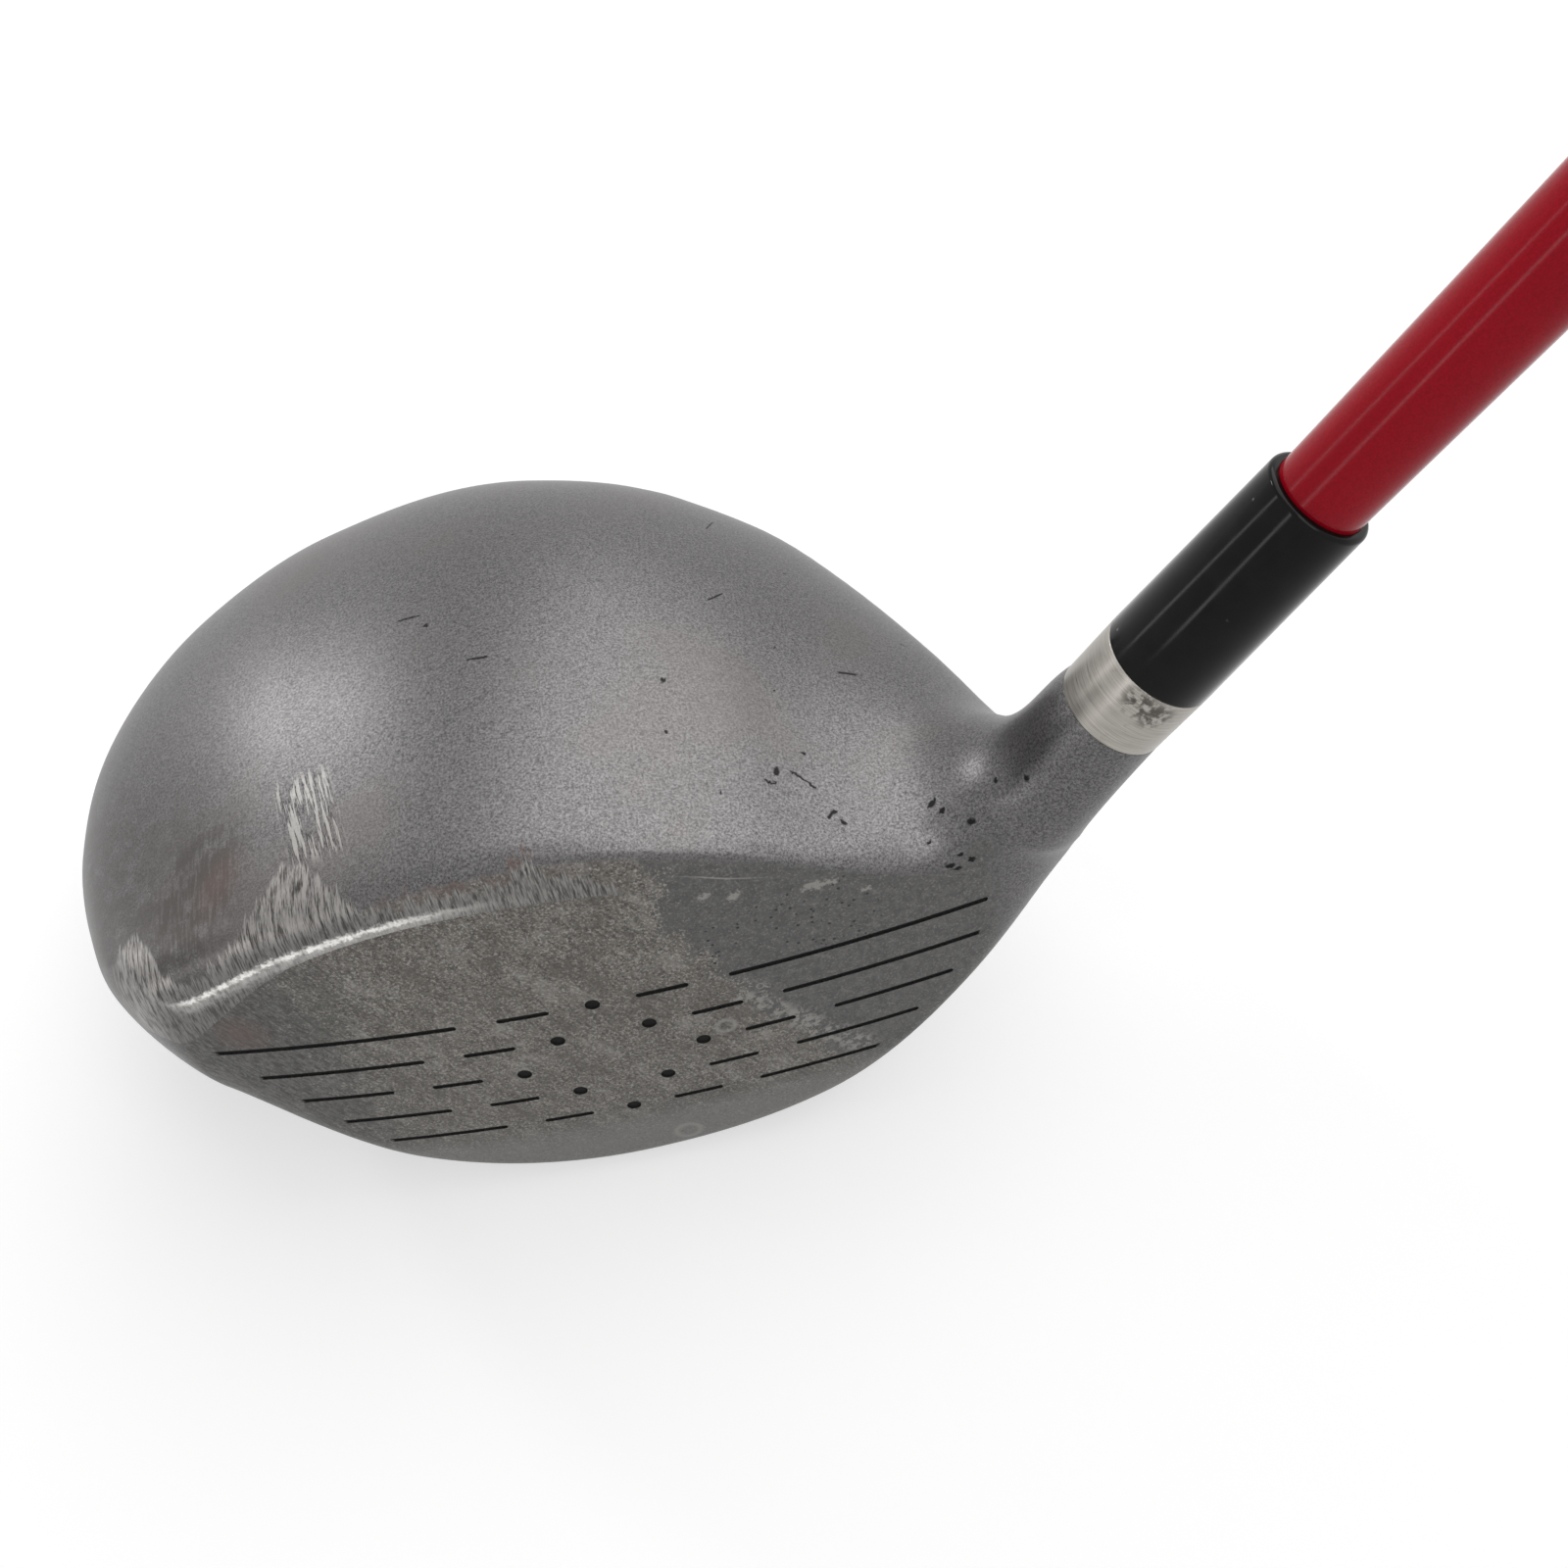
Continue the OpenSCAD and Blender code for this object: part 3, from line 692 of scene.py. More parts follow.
    def set(self, **inputs):
        for key, value in inputs.items():
            self.feed(self.surface.inputs[key.replace("_", " ")], value)
        return self.material


class HeadShader(Shader):
    """A shader that knows a point's marks on the head's skins, and its place on the face."""

    def __init__(self, name):
        super().__init__(name)
        self.above = self.mark("above")
        self.along = self.mark("along")
        self.upper = self.mark("upper")
        self.x, _, self.z = self.parts(self.at)
        self.flat = self.joined(self.x, self.z)

    def drawn(self, along, above, detail, rough, layer=0.0):
        """A noise on the skin with one scale along the spine and one away from the face."""
        at = self.joined(self.times(self.along, along), self.times(self.above, above), layer)
        return self.noise(1.0, at, detail, rough)


def grey(value):
    return (value, value, value, 1)


def tint(r, g, b):
    return (r, g, b, 1)


# Colours, as linear values
PAINT_DARK, PAINT_LIGHT = tint(0.045, 0.043, 0.044), tint(0.193, 0.187, 0.188)
PAINT_WARM = tint(0.13, 0.116, 0.112)
FACE_DARK, FACE_LIGHT = tint(0.088, 0.087, 0.085), tint(0.146, 0.144, 0.14)
# The pale colour at the face's foot is in part painted light, as from the floor below.
FACE_FOOT_PALE_AND_LIT = tint(0.27, 0.264, 0.255)
WORN_DARK, WORN_LIGHT = tint(0.095, 0.084, 0.072), tint(0.25, 0.235, 0.212)
WORN_FLECK, WORN_SPECK = tint(0.5, 0.48, 0.445), tint(0.028, 0.024, 0.019)
SCUFF_DARK, SCUFF_LIGHT = tint(0.05, 0.046, 0.043), tint(0.27, 0.259, 0.25)
# The first colour is the worn edge's bare metal, made bright enough to carry a painted highlight.
BARE_METAL_AND_HIGHLIGHT, PALE = tint(0.86, 0.84, 0.81), tint(0.4, 0.39, 0.365)
STAIN, PRIMER = tint(0.062, 0.057, 0.053), tint(0.13, 0.083, 0.07)
MOSS, CHIP_DARK = tint(0.06, 0.068, 0.055), tint(0.014, 0.013, 0.013)
SCORE_BLACK, SCORE_DIRT = grey(0.006), tint(0.03, 0.027, 0.022)
RING_DARK, RING_LIGHT = tint(0.28, 0.264, 0.24), tint(0.39, 0.37, 0.34)
RING_RUST, RING_TARNISH = tint(0.05, 0.036, 0.026), tint(0.17, 0.145, 0.115)
FERRULE_DARK, FERRULE_LIGHT, FERRULE_DUST = grey(0.003), grey(0.006), grey(0.25)
SHAFT_DARK, SHAFT_LIGHT = tint(0.4, 0.001, 0.012), tint(0.52, 0.002, 0.018)
SHAFT_DEEP = tint(0.3, 0.001, 0.009)
RUBBER_DARK, RUBBER_LIGHT, RUBBER_DUST = grey(0.011), grey(0.022), tint(0.05, 0.047, 0.043)
WEIGHT_DARK, WEIGHT_LIGHT = grey(0.2), grey(0.32)
EPOXY_DARK, EPOXY_LIGHT = tint(0.42, 0.3, 0.14), tint(0.5, 0.38, 0.2)
BRASS_DARK, BRASS_LIGHT = tint(0.6, 0.42, 0.15), tint(0.7, 0.5, 0.2)
TAPE_DARK, TAPE_LIGHT = tint(0.6, 0.56, 0.46), tint(0.7, 0.66, 0.56)

# The flat of the face faces forward at least this much, and ends at these x towards the heel
FLAT_FROM, FLAT_WHOLE = 0.74, 0.94
FACE_FADE, FACE_END = 44.0, 49.0
# The worn patch of the face: its edges, the slant of the right one, how softly and how raggedly they end
STRUCK_LEFT, STRUCK_RIGHT, STRUCK_LOW = -29.0, 10.5, 12.0
STRUCK_TOP, STRUCK_SLANT = 44.0, 0.53
LEFT_SOFT, RIGHT_SOFT, LOW_SOFT = 6.0, 0.8, 5.0
RAGGED, FLAKED = 13.0, 9.0
# More of the face: its foot in z, paler in part as painted light from the floor below, the scratched toe
# side in x and z, and its hatching's directions
PALE_AND_LIT_FOOT = (14.0, 10.0)
SCRATCHED_X, SCRATCHED_Z = (-14.0, -26.0), (12.0, 18.0)
FACE_HATCH = ((0.87, 0, 0.5), (0, 1, 0), (-0.5, 0, 0.87))
# Marks on the face at [x, z]: smears [start, end, width], patches [centre, half-widths], spots, pale
# chips [start, end], and chips with a pale rim [x, z, radius]
SMEARS = [((21, 25), (28, 16), 2.6), ((16, 31), (20, 27), 1.8)]
GOUGED = ((19.5, 14.5), (6.0, 4.5))
PITTED = ((24.0, 40.0), (16.0, 9.0))
MOSS_AT, MOSS_R = (-29.5, 40, 0), 3.5
BROWN_AT, BROWN_R = (-39, 38, 0), 2.5
PALE_CHIPS = [
    ((26, 45.5), (29, 45)), ((32, 42.5), (32.5, 42.5)), ((15, 48), (15.5, 48)), ((18, 47), (18.5, 47)),
]
PALE_CHIP_W, PALE_CHIP_TORN = 0.6, 2.6
RIM_CHIPS = [(13.5, 26.5, 1.3), (5, 6, 1.8), (18, 28.5, 0.5), (18.5, 32, 0.5)]
RIM_INNER = 0.65


def face_mask(s):
    """1 on the flat of the face and its chin, 0 on the crown, the sole and the neck."""
    normal = s.parts(s.node("ShaderNodeNewGeometry").outputs["Normal"])
    facing = s.ramp(s.times(normal[1], -1.0), FLAT_FROM, FLAT_WHOLE)
    return s.times(facing, s.ramp(s.x, FACE_END, FACE_FADE))


def wobble(s, noise, reach):
    """A noise as a distance of up to about half of reach to either side."""
    return s.times(s.minus(noise, 0.5), reach)


def struck_area(s):
    """1 where the ball has worn the face: a patch with a slanted right edge and a ragged left one."""
    ragged = wobble(s, s.noise(0.3, detail=6.0, rough=0.72), RAGGED)
    flaked = wobble(s, s.noise(1.6, detail=4.0, rough=0.7), FLAKED)
    below_top = s.most(s.minus(STRUCK_TOP, s.z), 0.0)
    edge = s.add(s.times(below_top, STRUCK_SLANT), STRUCK_RIGHT, ragged, flaked)
    right = s.minus(edge, s.x)
    left = s.add(s.x, -STRUCK_LEFT, s.times(ragged, 1.6), s.times(flaked, 2.0))
    low = s.add(s.z, -STRUCK_LOW, s.times(ragged, 0.6), s.times(flaked, 0.8))
    inside = [(right, RIGHT_SOFT), (left, LEFT_SOFT), (low, LOW_SOFT)]
    return s.times(*[s.ramp(depth, -soft, soft) for depth, soft in inside])


def face_ground(s, salt, hatch):
    """The face's dull grey, paler at its foot in part as painted light from the floor, finely speckled,
    and scratched towards the toe.
    """
    mottle = s.noise(0.9, detail=5.0, rough=0.65)
    colour = s.mix(s.spread(mottle), FACE_DARK, FACE_LIGHT)
    # Paler towards the foot: in part painted light, as from the floor's bounce.
    colour = s.mix(s.times(s.ramp(s.z, *PALE_AND_LIT_FOOT), 0.8), colour, FACE_FOOT_PALE_AND_LIT)
    colour = s.mix(s.ramp(salt, 0.53, 0.65, 0.0, 0.3), colour, WORN_FLECK)
    colour = s.mix(s.ramp(salt, 0.46, 0.36, 0.0, 0.3), colour, WORN_SPECK)
    scratched = s.times(s.ramp(s.x, *SCRATCHED_X), s.ramp(s.z, *SCRATCHED_Z))
    colour = s.mix(s.times(s.ramp(hatch, 0.52, 0.4), scratched, 0.7), colour, WORN_SPECK)
    return s.mix(s.times(s.ramp(hatch, 0.54, 0.66), scratched, 0.6), colour, WORN_LIGHT)


def face_worn(s, salt, hatch):
    """Brown, hatched and speckled metal, for where the ball has worn the coat off."""
    worn = s.mix(s.ramp(hatch, 0.32, 0.68), WORN_DARK, WORN_LIGHT)
    worn = s.mix(s.ramp(salt, 0.53, 0.63, 0.0, 0.85), worn, WORN_FLECK)
    worn = s.mix(s.ramp(salt, 0.46, 0.36, 0.0, 0.85), worn, WORN_SPECK)
    blotch = s.noise(0.22, s.stretched((1.6, 1.0, 0.7), FACE_HATCH), detail=5.0, rough=0.65)
    worn = s.mix(s.ramp(blotch, 0.5, 0.66, 0.0, 0.6), worn, WORN_DARK)
    return s.mix(s.ramp(blotch, 0.47, 0.32, 0.0, 0.35), worn, WORN_FLECK)


def face_marks(s, colour):
    """Smears, gouges, pits and stains at their own places on the face."""
    broken = s.ramp(s.noise(0.9, detail=5.0, rough=0.65), 0.48, 0.56)
    smears = s.most(*[s.streak(s.flat, *smear) for smear in SMEARS])
    colour = s.mix(s.times(smears, broken, 0.8), colour, PALE)
    gouges = s.noise(1.0, s.stretched((1.7, 1.0, 0.35), FACE_HATCH), detail=3.0)
    gouged = s.times(s.ramp(gouges, 0.56, 0.64), s.oval(s.x, s.z, *GOUGED))
    colour = s.mix(s.times(gouged, 0.75), colour, WORN_SPECK)
    pits = s.times(s.ramp(s.cells(1.1), 0.26, 0.18), s.ramp(s.noise(0.7), 0.48, 0.54))
    pitted = s.ramp(s.oval(s.x, s.z, *PITTED), 0.1, 0.3)
    colour = s.mix(s.times(pits, pitted), colour, CHIP_DARK)
    mossy = s.times(s.spot(MOSS_AT, MOSS_R, 0.8, s.flat), broken)
    colour = s.mix(s.times(mossy, 0.6), colour, MOSS)
    return s.mix(s.times(s.spot(BROWN_AT, BROWN_R, 0.9, s.flat), 0.6), colour, PRIMER)


def face_chips(s, colour):
    """Torn pale chips along the face's upper edge, and round chips with a pale rim."""
    torn = wobble(s, s.noise(1.3, detail=3.0, rough=0.7), PALE_CHIP_TORN)
    at = s.joined(s.add(s.x, torn), s.add(s.z, torn))
    for start, end in PALE_CHIPS:
        chip = s.streak(at, start, end, PALE_CHIP_W)
        colour = s.mix(s.times(chip, 0.85), colour, PALE)
    for x, z, radius in RIM_CHIPS:
        outer = s.spot((x, z, 0), radius, 0.2, s.flat)
        inner = s.spot((x, z, 0), radius * RIM_INNER, 0.3, s.flat)
        colour = s.mix(s.times(s.minus(outer, inner), 0.7), colour, PALE)
    return colour


def face_coat(s):
    """The face's dull grey, brown and speckled where it is worn, with its marks of use."""
    salt = s.noise(3.2, detail=3.0, rough=0.75)
    hatch = s.noise(1.0, s.stretched((2.6, 1.0, 0.7), FACE_HATCH), detail=5.0, rough=0.7)
    colour = s.mix(struck_area(s), face_ground(s, salt, hatch), face_worn(s, salt, hatch))
    return face_chips(s, face_marks(s, colour))


# Marks on the crown and the neck at [along, above]: chips with a radius, and scratches [start, end]
DARK_CHIPS = [
    (38.5, 16, 0.6), (43.5, 18, 0.3), (47, 10.5, 0.3), (54, 11.5, 0.4), (54.5, 10, 0.3),
    (56, 7, 0.45), (60.5, 9.5, 0.3), (64, 7, 0.35), (51, 4.5, 0.4), (51, 3.5, 0.35),
    (52.5, 5, 0.3), (52.5, 3.5, 0.35), (52, 8.5, 0.2), (26.5, 13, 0.2), (18.5, 28, 0.4),
    (18, 20.5, 0.3), (-11, 40, 0.35), (38, 52.5, 0.15), (47, 47, 0.15), (39.5, 35, 0.2),
    (39.5, 27.5, 0.2), (-1, 55.5, 0.15),
]
CHIP_SOFT, CHIP_TORN = 0.35, 0.7
SCRATCHES = [
    ((41, 15.5), (44.5, 13.5)), ((45.5, 10), (46.5, 11.5)), ((36, 15), (38, 14.5)),
    ((26.5, 60), (27, 63)), ((28, 42.5), (30.5, 44)), ((46.5, 33), (47.5, 34)),
    ((-6, 33), (-4, 33)), ((-14.5, 42), (-12, 42)),
]
SCRATCH_W = 0.25
# Stains by the toe: grime that thickens along and towards the face, a patch, and rust in it
GRIME_ALONG, GRIME_ABOVE = (-26.0, -50.0), (48.0, 16.0)
TOE_PATCH = ((-39.5, 16.0), (9.5, 12.0))
TOE_RUST_AT, TOE_RUST_R = (-35.5, 14.5, 0), 3.0
# Scuffs behind the face's upper edge: humps [along, half-width, height], the stretches over which they
# grow towards the toe and die out towards the heel, their end at the toe, their flakes and their fringe
SCUFF_HUMPS = [(-47.5, 6.5, 7.0), (-27.0, 9.0, 7.0), (-1.5, 2.5, 2.5)]
SCUFF_GROWS, SCUFF_LOW, SCUFF_HIGH = (-18.0, -38.0), 3.4, 6.5
SCUFF_DIES, SCUFF_DROP = (2.0, 12.0), -4.2
SCUFF_TORN = 9.0
SCUFF_END = (-54.0, -50.0)
FLAKES_ALONG = (-24.0, -12.0)
FRINGE_AT, FRINGE_HALF = (-0.5, -5.0), (0.9, 19.0)
# A tilted cluster of scratches, and a fainter patch of them
CLUSTER_ALONG, CLUSTER_ABOVE, CLUSTER_TILT = -25.0, 17.0, 0.22
CLUSTER_HALF_W, CLUSTER_HALF_H = 5.0, 9.0
FAINT = ((-12.0, 12.0), (7.0, 7.0))
# The bright edge, worn bare metal with a painted highlight on it: its height, its climb over a run past
# a bend, its ends, the highlight's softer band below, and a thin line beyond
EDGE_H, EDGE_BEND, EDGE_RUN, EDGE_CLIMB = 1.0, -22.0, 23.0, 4.8
EDGE_TOE, EDGE_HEEL = (-47.5, -42.0), (-2.0, -20.0)
EDGE_TORN, EDGE_HALF = 2.0, 0.8
EDGE_HIGHLIGHT_BAND, EDGE_HIGHLIGHT_BAND_HALF = -0.6, 1.6
THIN_EDGE = ((22.0, 2.2), (9.0, 0.2))


def paint_coat(s, flake):
    """The crown's metal-flake grey, a little warmer in places."""
    cloud = s.noise(0.05)
    paint = s.mix(s.spread(flake), PAINT_DARK, PAINT_LIGHT)
    return s.mix(s.ramp(cloud, 0.45, 0.75, 0.0, 0.5), paint, PAINT_WARM)


def toe_stain(s, colour, lines, patches):
    """Grime towards the toe, and a streaky, slightly rusty patch behind the face's edge."""
    grime = s.times(s.ramp(s.along, *GRIME_ALONG), s.ramp(s.above, *GRIME_ABOVE), s.upper)
    colour = s.mix(s.times(grime, s.ramp(patches, 0.2, 0.6), 0.65), colour, STAIN)
    on_patch = s.times(s.oval(s.along, s.above, *TOE_PATCH), s.upper)
    streaky = s.add(s.times(lines, 0.7), s.times(patches, 0.4))
    stained = s.times(s.ramp(on_patch, 0.0, 0.6), s.ramp(streaky, 0.49, 0.6))
    colour = s.mix(s.times(stained, 0.7), colour, STAIN)
    rust = s.spot(TOE_RUST_AT, TOE_RUST_R, 0.8, s.joined(s.along, s.above))
    return s.mix(s.times(on_patch, rust, lines), colour, PRIMER)


def scuff_top(s):
    """How far the scuffs reach up from the face's upper edge, for each place along it."""
    humps = [s.times(s.hump(s.along, at, half), height) for at, half, height in SCUFF_HUMPS]
    towards_toe = s.ramp(s.along, *SCUFF_GROWS, SCUFF_LOW, SCUFF_HIGH)
    towards_heel = s.ramp(s.along, *SCUFF_DIES, 0.0, SCUFF_DROP)
    spikes = s.drawn(0.8, 0.0, detail=4.0, rough=0.7)
    return s.add(towards_toe, *humps, towards_heel, wobble(s, spikes, SCUFF_TORN))


def scuffs(s, colour, lines, patches):
    """Brushed and flaked paint behind the face's upper edge, with a fringe of primer."""
    over = s.minus(scuff_top(s), s.above)
    scuffed = s.times(s.ramp(over, -0.3, 0.5), s.ramp(s.along, *SCUFF_END), s.upper)
    hairs = s.drawn(5.0, 0.5, detail=3.0, rough=0.7, layer=9.0)
    brushed = s.mix(s.ramp(s.mixed(0.5, lines, hairs), 0.4, 0.56), SCUFF_DARK, SCUFF_LIGHT)
    flakes = s.times(s.ramp(s.along, *FLAKES_ALONG), s.ramp(hairs, 0.5, 0.6))
    brushed = s.mix(s.times(flakes, 0.7), brushed, PALE)
    colour = s.mix(s.times(scuffed, s.ramp(patches, 0.25, 0.5, 0.6, 1.0)), colour, brushed)
    fringe = s.times(s.oval(over, s.along, FRINGE_AT, FRINGE_HALF), s.upper)
    return s.mix(s.times(fringe, s.ramp(patches, 0.42, 0.6), 0.7), colour, PRIMER)


def scratch_cluster(s, colour):
    """Pale and dark scratches close together, and a fainter patch of them beside these."""
    up = s.minus(s.above, CLUSTER_ABOVE)
    aside = s.add(s.along, s.times(up, CLUSTER_TILT), -CLUSTER_ALONG)
    near = s.ramp(s.hump(aside, 0.0, CLUSTER_HALF_W), 0.1, 0.5)
    cluster = s.times(near, s.ramp(s.hump(up, 0.0, CLUSTER_HALF_H), 0.1, 0.5), s.upper)
    at = s.joined(s.times(aside, 2.4), s.times(s.above, 0.16), 5.0)
    hairs = s.noise(1.0, at, detail=3.0, rough=0.6)
    colour = s.mix(s.times(cluster, s.ramp(hairs, 0.5, 0.56), 0.5), colour, PALE)
    colour = s.mix(s.times(cluster, s.hump(hairs, 0.485, 0.03), 0.8), colour, CHIP_DARK)
    faint = s.times(s.oval(s.along, s.above, *FAINT), s.upper)
    return s.mix(s.times(faint, s.ramp(hairs, 0.56, 0.64), 0.35), colour, STAIN)


def crown_wear(s, colour):
    """Stains by the toe, scuffs behind the face's upper edge and a cluster of scratches."""
    lines = s.drawn(2.6, 0.3, detail=4.0, rough=0.6)
    patches = s.noise(0.4, detail=4.0, rough=0.6)
    colour = toe_stain(s, colour, lines, patches)
    colour = scuffs(s, colour, lines, patches)
    return scratch_cluster(s, colour)


def bare_edge_and_highlight(s):
    """1 on the worn upper edge of the face towards the toe: bare metal, with a painted highlight and its
    softer band below.
    """
    past = s.most(s.minus(EDGE_BEND, s.along), 0.0)
    line = s.add(EDGE_H, s.times(past, past, EDGE_CLIMB / EDGE_RUN**2))
    torn = wobble(s, s.noise(2.2, detail=4.0, rough=0.7), EDGE_TORN)
    off = s.add(s.minus(s.above, line), torn)
    # Painted highlight: the weaker second hump is its band fading down into the face.
    near = s.most(s.hump(off, 0.0, EDGE_HALF), s.times(s.hump(off, EDGE_HIGHLIGHT_BAND, EDGE_HIGHLIGHT_BAND_HALF), 0.45))
    gaps = s.ramp(s.noise(0.9, detail=4.0, rough=0.65), 0.3, 0.55, 0.4, 1.0)
    ends = s.times(s.ramp(s.along, *EDGE_TOE), s.ramp(s.along, *EDGE_HEEL))
    thin = s.times(s.oval(s.along, s.above, *THIN_EDGE), 0.3)
    return s.times(s.most(s.times(near, gaps, ends), thin), s.upper)


def chips(s):
    """1 on small chips and scratches where the paint is gone down to a dark ground."""
    torn = wobble(s, s.noise(2.5), CHIP_TORN)
    flat = s.joined(s.add(s.along, torn), s.add(s.above, torn))
    found = [s.spot((along, above, 0), radius, CHIP_SOFT, flat) for along, above, radius in DARK_CHIPS]
    found += [s.streak(flat, start, end, SCRATCH_W) for start, end in SCRATCHES]
    return s.times(s.most(*found), s.upper)


def head_paint():
    s = HeadShader("head_paint")
    flake = s.mixed(0.35, s.noise(3.6, detail=3.0, rough=0.65), s.noise(9.0, detail=1.0))
    facing = face_mask(s)
    bare_and_highlight = bare_edge_and_highlight(s)
    chipped = chips(s)
    colour = s.mix(facing, paint_coat(s, flake), face_coat(s))
    # Bare metal with a painted highlight along the face's upper edge.
    colour = s.mix(bare_and_highlight, crown_wear(s, colour), BARE_METAL_AND_HIGHLIGHT)
    colour = s.mix(chipped, colour, CHIP_DARK)
    dull = s.most(facing, chipped)
    s.set(Base_Color=colour, Metallic=s.most(s.mixed(dull, 0.95, 0.1), bare_and_highlight))
    s.set(Roughness=s.mixed(bare_and_highlight, s.mixed(facing, 0.39, 0.55), 0.3))
    s.set(Specular_IOR_Level=s.mixed(chipped, 0.5, 0.1))
    height = s.minus(s.times(flake, 0.3), chipped)
    return s.set(Normal=s.bump(height, 0.3, 0.06))


def score_black():
    s = Shader("score_black")
    dirt = s.noise(3.0, detail=3.0)
    s.set(Base_Color=s.mix(s.ramp(dirt, 0.5, 0.8), SCORE_BLACK, SCORE_DIRT))
    return s.set(Roughness=s.varied(dirt, 0.6, 0.85), Specular_IOR_Level=0.15)


# Rust on the ring: [degrees from the heel side towards the back, place above the ring's foot, radius]
RUST_SPOTS = [(-122, 6.6, 1.6), (-102, 6.2, 1.6), (-8, 1.2, 1.8)]


def on_ring(angle, up):
    """A place on the ring's outside."""
    a = math.radians(angle)
    return tuple(AXIS_AT + (NECK_A + up) * AXIS + NECK_R * (math.cos(a) * SIDE + math.sin(a) * BACK))


def bare_metal():
    s = Shader("bare_metal")
    lines = s.noise(1.0, s.stretched((0.25, 0.25, 9.0), CLUB_AXES), detail=3.0)
    blots = s.noise(0.9, detail=4.0, rough=0.6)
    near = s.most(*[s.spot(on_ring(angle, up), radius, 0.6) for angle, up, radius in RUST_SPOTS])
    rust = s.times(near, s.ramp(blots, 0.42, 0.56))
    colour = s.mix(s.spread(lines), RING_DARK, RING_LIGHT)
    colour = s.mix(s.times(rust, 0.85), colour, RING_RUST)
    colour = s.mix(s.ramp(blots, 0.55, 0.8, 0.0, 0.3), colour, RING_TARNISH)
    s.set(Base_Color=colour, Metallic=s.mixed(rust, 1.0, 0.2))
    return s.set(Roughness=s.varied(lines, 0.26, 0.4), Normal=s.bump(lines, 0.15, 0.03))


def ferrule_black():
    s = Shader("ferrule_black")
    haze = s.noise(0.4, detail=4.0)
    specks = s.times(s.ramp(s.cells(0.35), 0.1, 0.06), s.ramp(s.noise(0.5), 0.5, 0.6))
    colour = s.mix(s.ramp(haze, 0.4, 0.7), FERRULE_DARK, FERRULE_LIGHT)
    s.set(Base_Color=s.mix(specks, colour, FERRULE_DUST))
    s.set(Roughness=s.ramp(haze, 0.3, 0.8, 0.1, 0.16), Specular_IOR_Level=0.13)
    return s.set(Normal=s.bump(s.noise(0.8), 0.05, 0.02))


def shaft_red():
    s = Shader("shaft_red")
    flake = s.noise(5.0)
    cloud = s.noise(0.12, s.stretched((1.0, 1.0, 0.15), CLUB_AXES))
    colour = s.mix(s.spread(flake), SHAFT_DARK, SHAFT_LIGHT)
    s.set(Base_Color=s.mix(s.ramp(cloud, 0.4, 0.7, 0.0, 0.4), colour, SHAFT_DEEP))
    s.set(Roughness=s.ramp(cloud, 0.3, 0.7, 0.12, 0.2), Specular_IOR_Level=0.11)
    s.set(Coat_Weight=0.03, Coat_Roughness=0.12)
    return s.set(Normal=s.bump(s.noise(0.6), 0.04, 0.02))


def grip_rubber():
    s = Shader("grip_rubber")
    grain = s.noise(4.0, detail=3.0)
    dust = s.ramp(s.noise(0.08, detail=3.0), 0.45, 0.75)
    colour = s.mix(s.spread(grain), RUBBER_DARK, RUBBER_LIGHT)
    s.set(Base_Color=s.mix(s.times(dust, 0.3), colour, RUBBER_DUST))
    return s.set(Roughness=s.ramp(dust, 0.0, 1.0, 0.6, 0.8), Normal=s.bump(grain, 0.3, 0.08))


def plain_metal(name, low, high, rough):
    """Drawn metal, for pieces that are hidden."""
    s = Shader(name)
    lines = s.noise(1.0, s.stretched((3.0, 3.0, 0.4)), detail=3.0)
    s.set(Base_Color=s.mix(s.spread(lines), low, high), Metallic=1.0)
    return s.set(Roughness=s.varied(lines, rough, rough + 0.15), Normal=s.bump(lines, 0.1, 0.03))


def plain_matt(name, low, high, scale):
    """A matt, grainy material, for pieces that are hidden."""
    s = Shader(name)
    grain = s.noise(scale, detail=3.0)
    s.set(Base_Color=s.mix(s.spread(grain), low, high))
    return s.set(Roughness=s.varied(grain, 0.5, 0.75), Normal=s.bump(grain, 0.15, 0.05))


def dress(piece, material):
    piece.data.materials.clear()
    piece.data.materials.append(material)


def build_part():
    paint = head_paint()
    metal = bare_metal()
    rubber = grip_rubber()
    dress(shell("crown_skin", True, CROWN_T, ["crown_shell"]), paint)
    dress(shell("sole_skin", False, SOLE_T, ["sole_shell"]), paint)
    dress(neck("neck_skin", ["hosel_neck"]), paint)
    dress(hosel_ring(), metal)
    dress(ferrule(), ferrule_black())
    dress(shaft(), shaft_red())
    dress(grip(), rubber)
    dress(grip_cap(), rubber)
    kept = {
        "face_plate": paint,
        "score_paint": score_black(),
        "hosel_tube": metal,
        "sole_weight": plain_metal("weight_metal", WEIGHT_DARK, WEIGHT_LIGHT, 0.4),
        "epoxy_sleeve": plain_matt("epoxy", EPOXY_DARK, EPOXY_LIGHT, 0.8),
        "tip_plug": plain_metal("plug_brass", BRASS_DARK, BRASS_LIGHT, 0.3),
        "grip_tape": plain_matt("tape", TAPE_DARK, TAPE_LIGHT, 1.5),
    }
    for name, material in kept.items():
        for slot in frame["nodes"][name].material_slots:
            slot.material = material


# The photograph's view, found from the score marks, the ferrule and the shaft: angles in degrees, the
# face centre's place to the right of, below and in front of the camera, and the lens
VIEW_AZIMUTH, VIEW_ELEVATION, VIEW_ROLL = 2.9, 56.93, -13.79
FACE_IN_VIEW = np.array([-19.57, 31.62, 192.0])
LENS, SENSOR = 38.25, 36.0
NEAR_CLIP, FAR_CLIP = 0.01, 100.0
# The floor in metres, and its glow to the camera between two distances in millimetres
FLOOR_REACH, FLOOR_SIDES = 8.0, 96
GLOW_FROM, GLOW_TO, GLOW_LOW, GLOW_HIGH = 700.0, 3500.0, 0.56, 0.93


def towards(azimuth, elevation):
    """A direction from the head, in degrees from the front round to the heel and up from the floor."""
    a, e = math.radians(azimuth), math.radians(elevation)
    return np.array([math.sin(a) * math.cos(e), -math.cos(a) * math.cos(e), math.sin(e)])


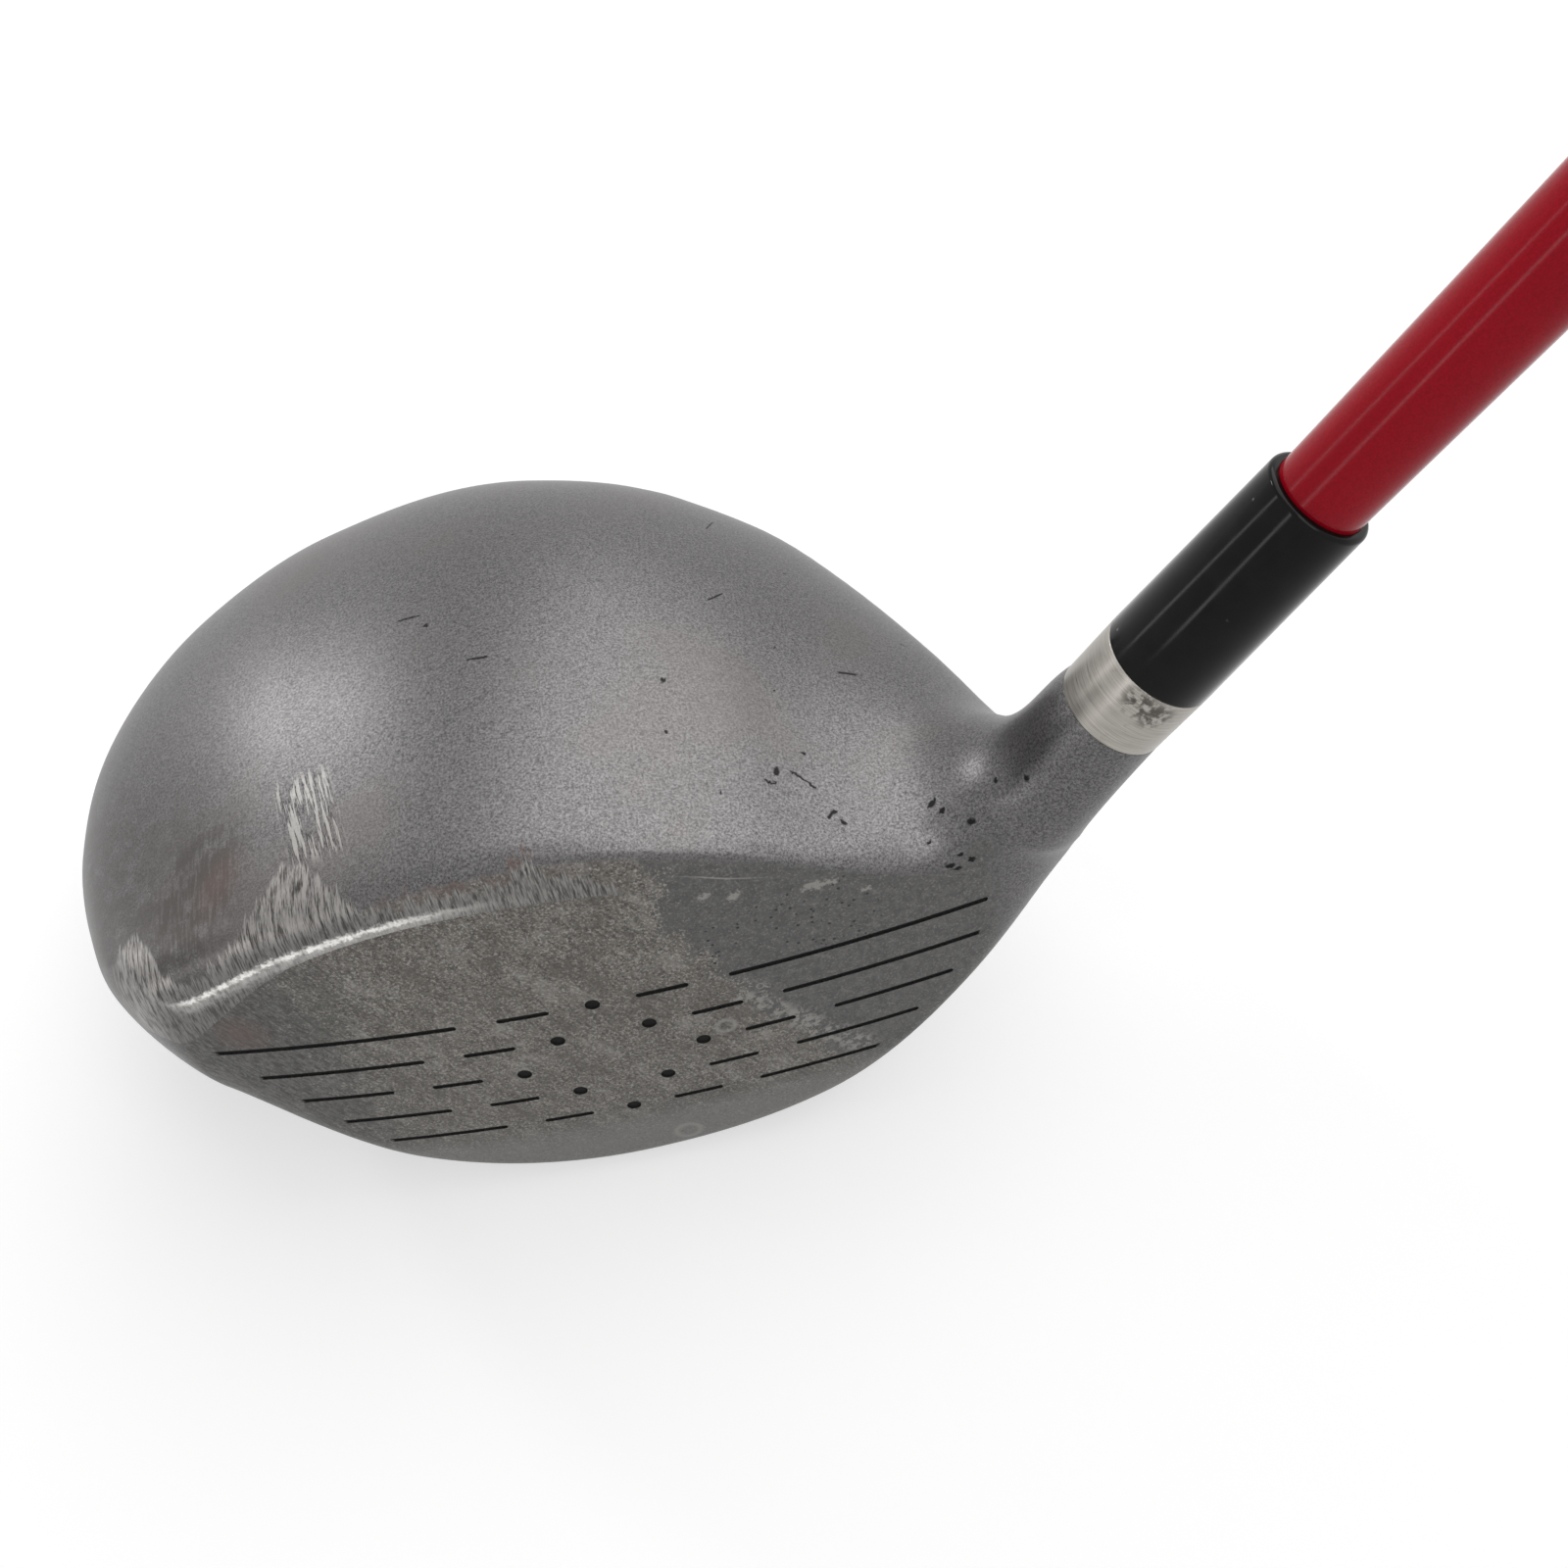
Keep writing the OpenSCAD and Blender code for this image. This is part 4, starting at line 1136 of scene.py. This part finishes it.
def camera():
    """The photograph's camera, close above the face."""
    out = towards(VIEW_AZIMUTH, VIEW_ELEVATION)
    level = unit(np.cross([0, 0, 1], out))
    upright = np.cross(out, level)
    c, s = math.cos(math.radians(VIEW_ROLL)), math.sin(math.radians(VIEW_ROLL))
    right, up = c * level + s * upright, c * upright - s * level
    at = np.array([0, FACE_Y, FACE_Z]) - np.stack([right, -up, -out]).T @ FACE_IN_VIEW
    data = bpy.data.cameras.new("camera")
    data.sensor_width = SENSOR
    data.lens = LENS
    data.clip_start = NEAR_CLIP
    data.clip_end = FAR_CLIP
    made = bpy.data.objects.new("camera", data)
    matrix = np.eye(4)
    matrix[:3] = np.stack([right, up, out, at * MM], -1)
    made.matrix_world = Matrix(matrix.tolist())
    bpy.context.scene.collection.objects.link(made)
    bpy.context.scene.camera = made


def lamp(name, azimuth, elevation, distance, width, height, level):
    """A soft light that faces the head and gives it that irradiance over pi, face on."""
    data = bpy.data.lights.new(name, "AREA")
    data.shape = "RECTANGLE"
    data.size = width
    data.size_y = height
    data.energy = level * (math.pi * distance) ** 2
    made = bpy.data.objects.new(name, data)
    out = Vector(towards(azimuth, elevation).tolist())
    made.location = out * distance
    made.rotation_mode = "QUATERNION"
    made.rotation_quaternion = out.to_track_quat("Z", "Y")
    made.visible_camera = False
    bpy.context.scene.collection.objects.link(made)


def world(level):
    """A white surround that lights the object at a level of its own."""
    made = bpy.data.worlds.new("studio")
    made.use_nodes = True
    nodes = Nodes(made.node_tree)
    background = made.node_tree.nodes["Background"]
    nodes.feed(background.inputs["Color"], grey(1.0))
    nodes.feed(background.inputs["Strength"], nodes.mixed(nodes.seen_directly(), level, 1.0))
    bpy.context.scene.world = made


def floor():
    """A pale round floor; far from the lamps it glows to the camera, so that it stays white."""
    turns = np.linspace(0, 2 * math.pi, FLOOR_SIDES, endpoint=False)
    rim = [(FLOOR_REACH * math.cos(q), FLOOR_REACH * math.sin(q), 0) for q in turns]
    mesh = bpy.data.meshes.new("floor")
    mesh.from_pydata(rim, [], [range(FLOOR_SIDES)])
    made = bpy.data.objects.new("floor", mesh)
    bpy.context.scene.collection.objects.link(made)
    s = Shader("floor")
    glow = s.ramp(s.vector("LENGTH", s.at), GLOW_FROM, GLOW_TO, GLOW_LOW, GLOW_HIGH)
    s.set(Base_Color=s.mix(s.noise(0.02), grey(0.5), grey(0.52)), Roughness=0.9, Specular_IOR_Level=0.0)
    s.set(Emission_Color=grey(1.0), Emission_Strength=s.times(s.seen_directly(), glow))
    dress(made, s.material)


build_part()
camera()
floor()
world(level=0.2)
lamp("key", azimuth=139, elevation=54, distance=3.0, width=3.6, height=3.6, level=0.92)
lamp("front", azimuth=42, elevation=56, distance=3.0, width=1.6, height=1.6, level=0.22)
lamp("side", azimuth=-140, elevation=25, distance=3.0, width=0.4, height=0.4, level=0.13)
lamp("strip_toe", azimuth=-106, elevation=14, distance=0.72, width=0.06, height=0.35, level=0.045)
lamp("strip_front", azimuth=-61, elevation=14, distance=0.72, width=0.06, height=0.35, level=0.055)
bpy.context.scene.view_settings.view_transform = "Standard"
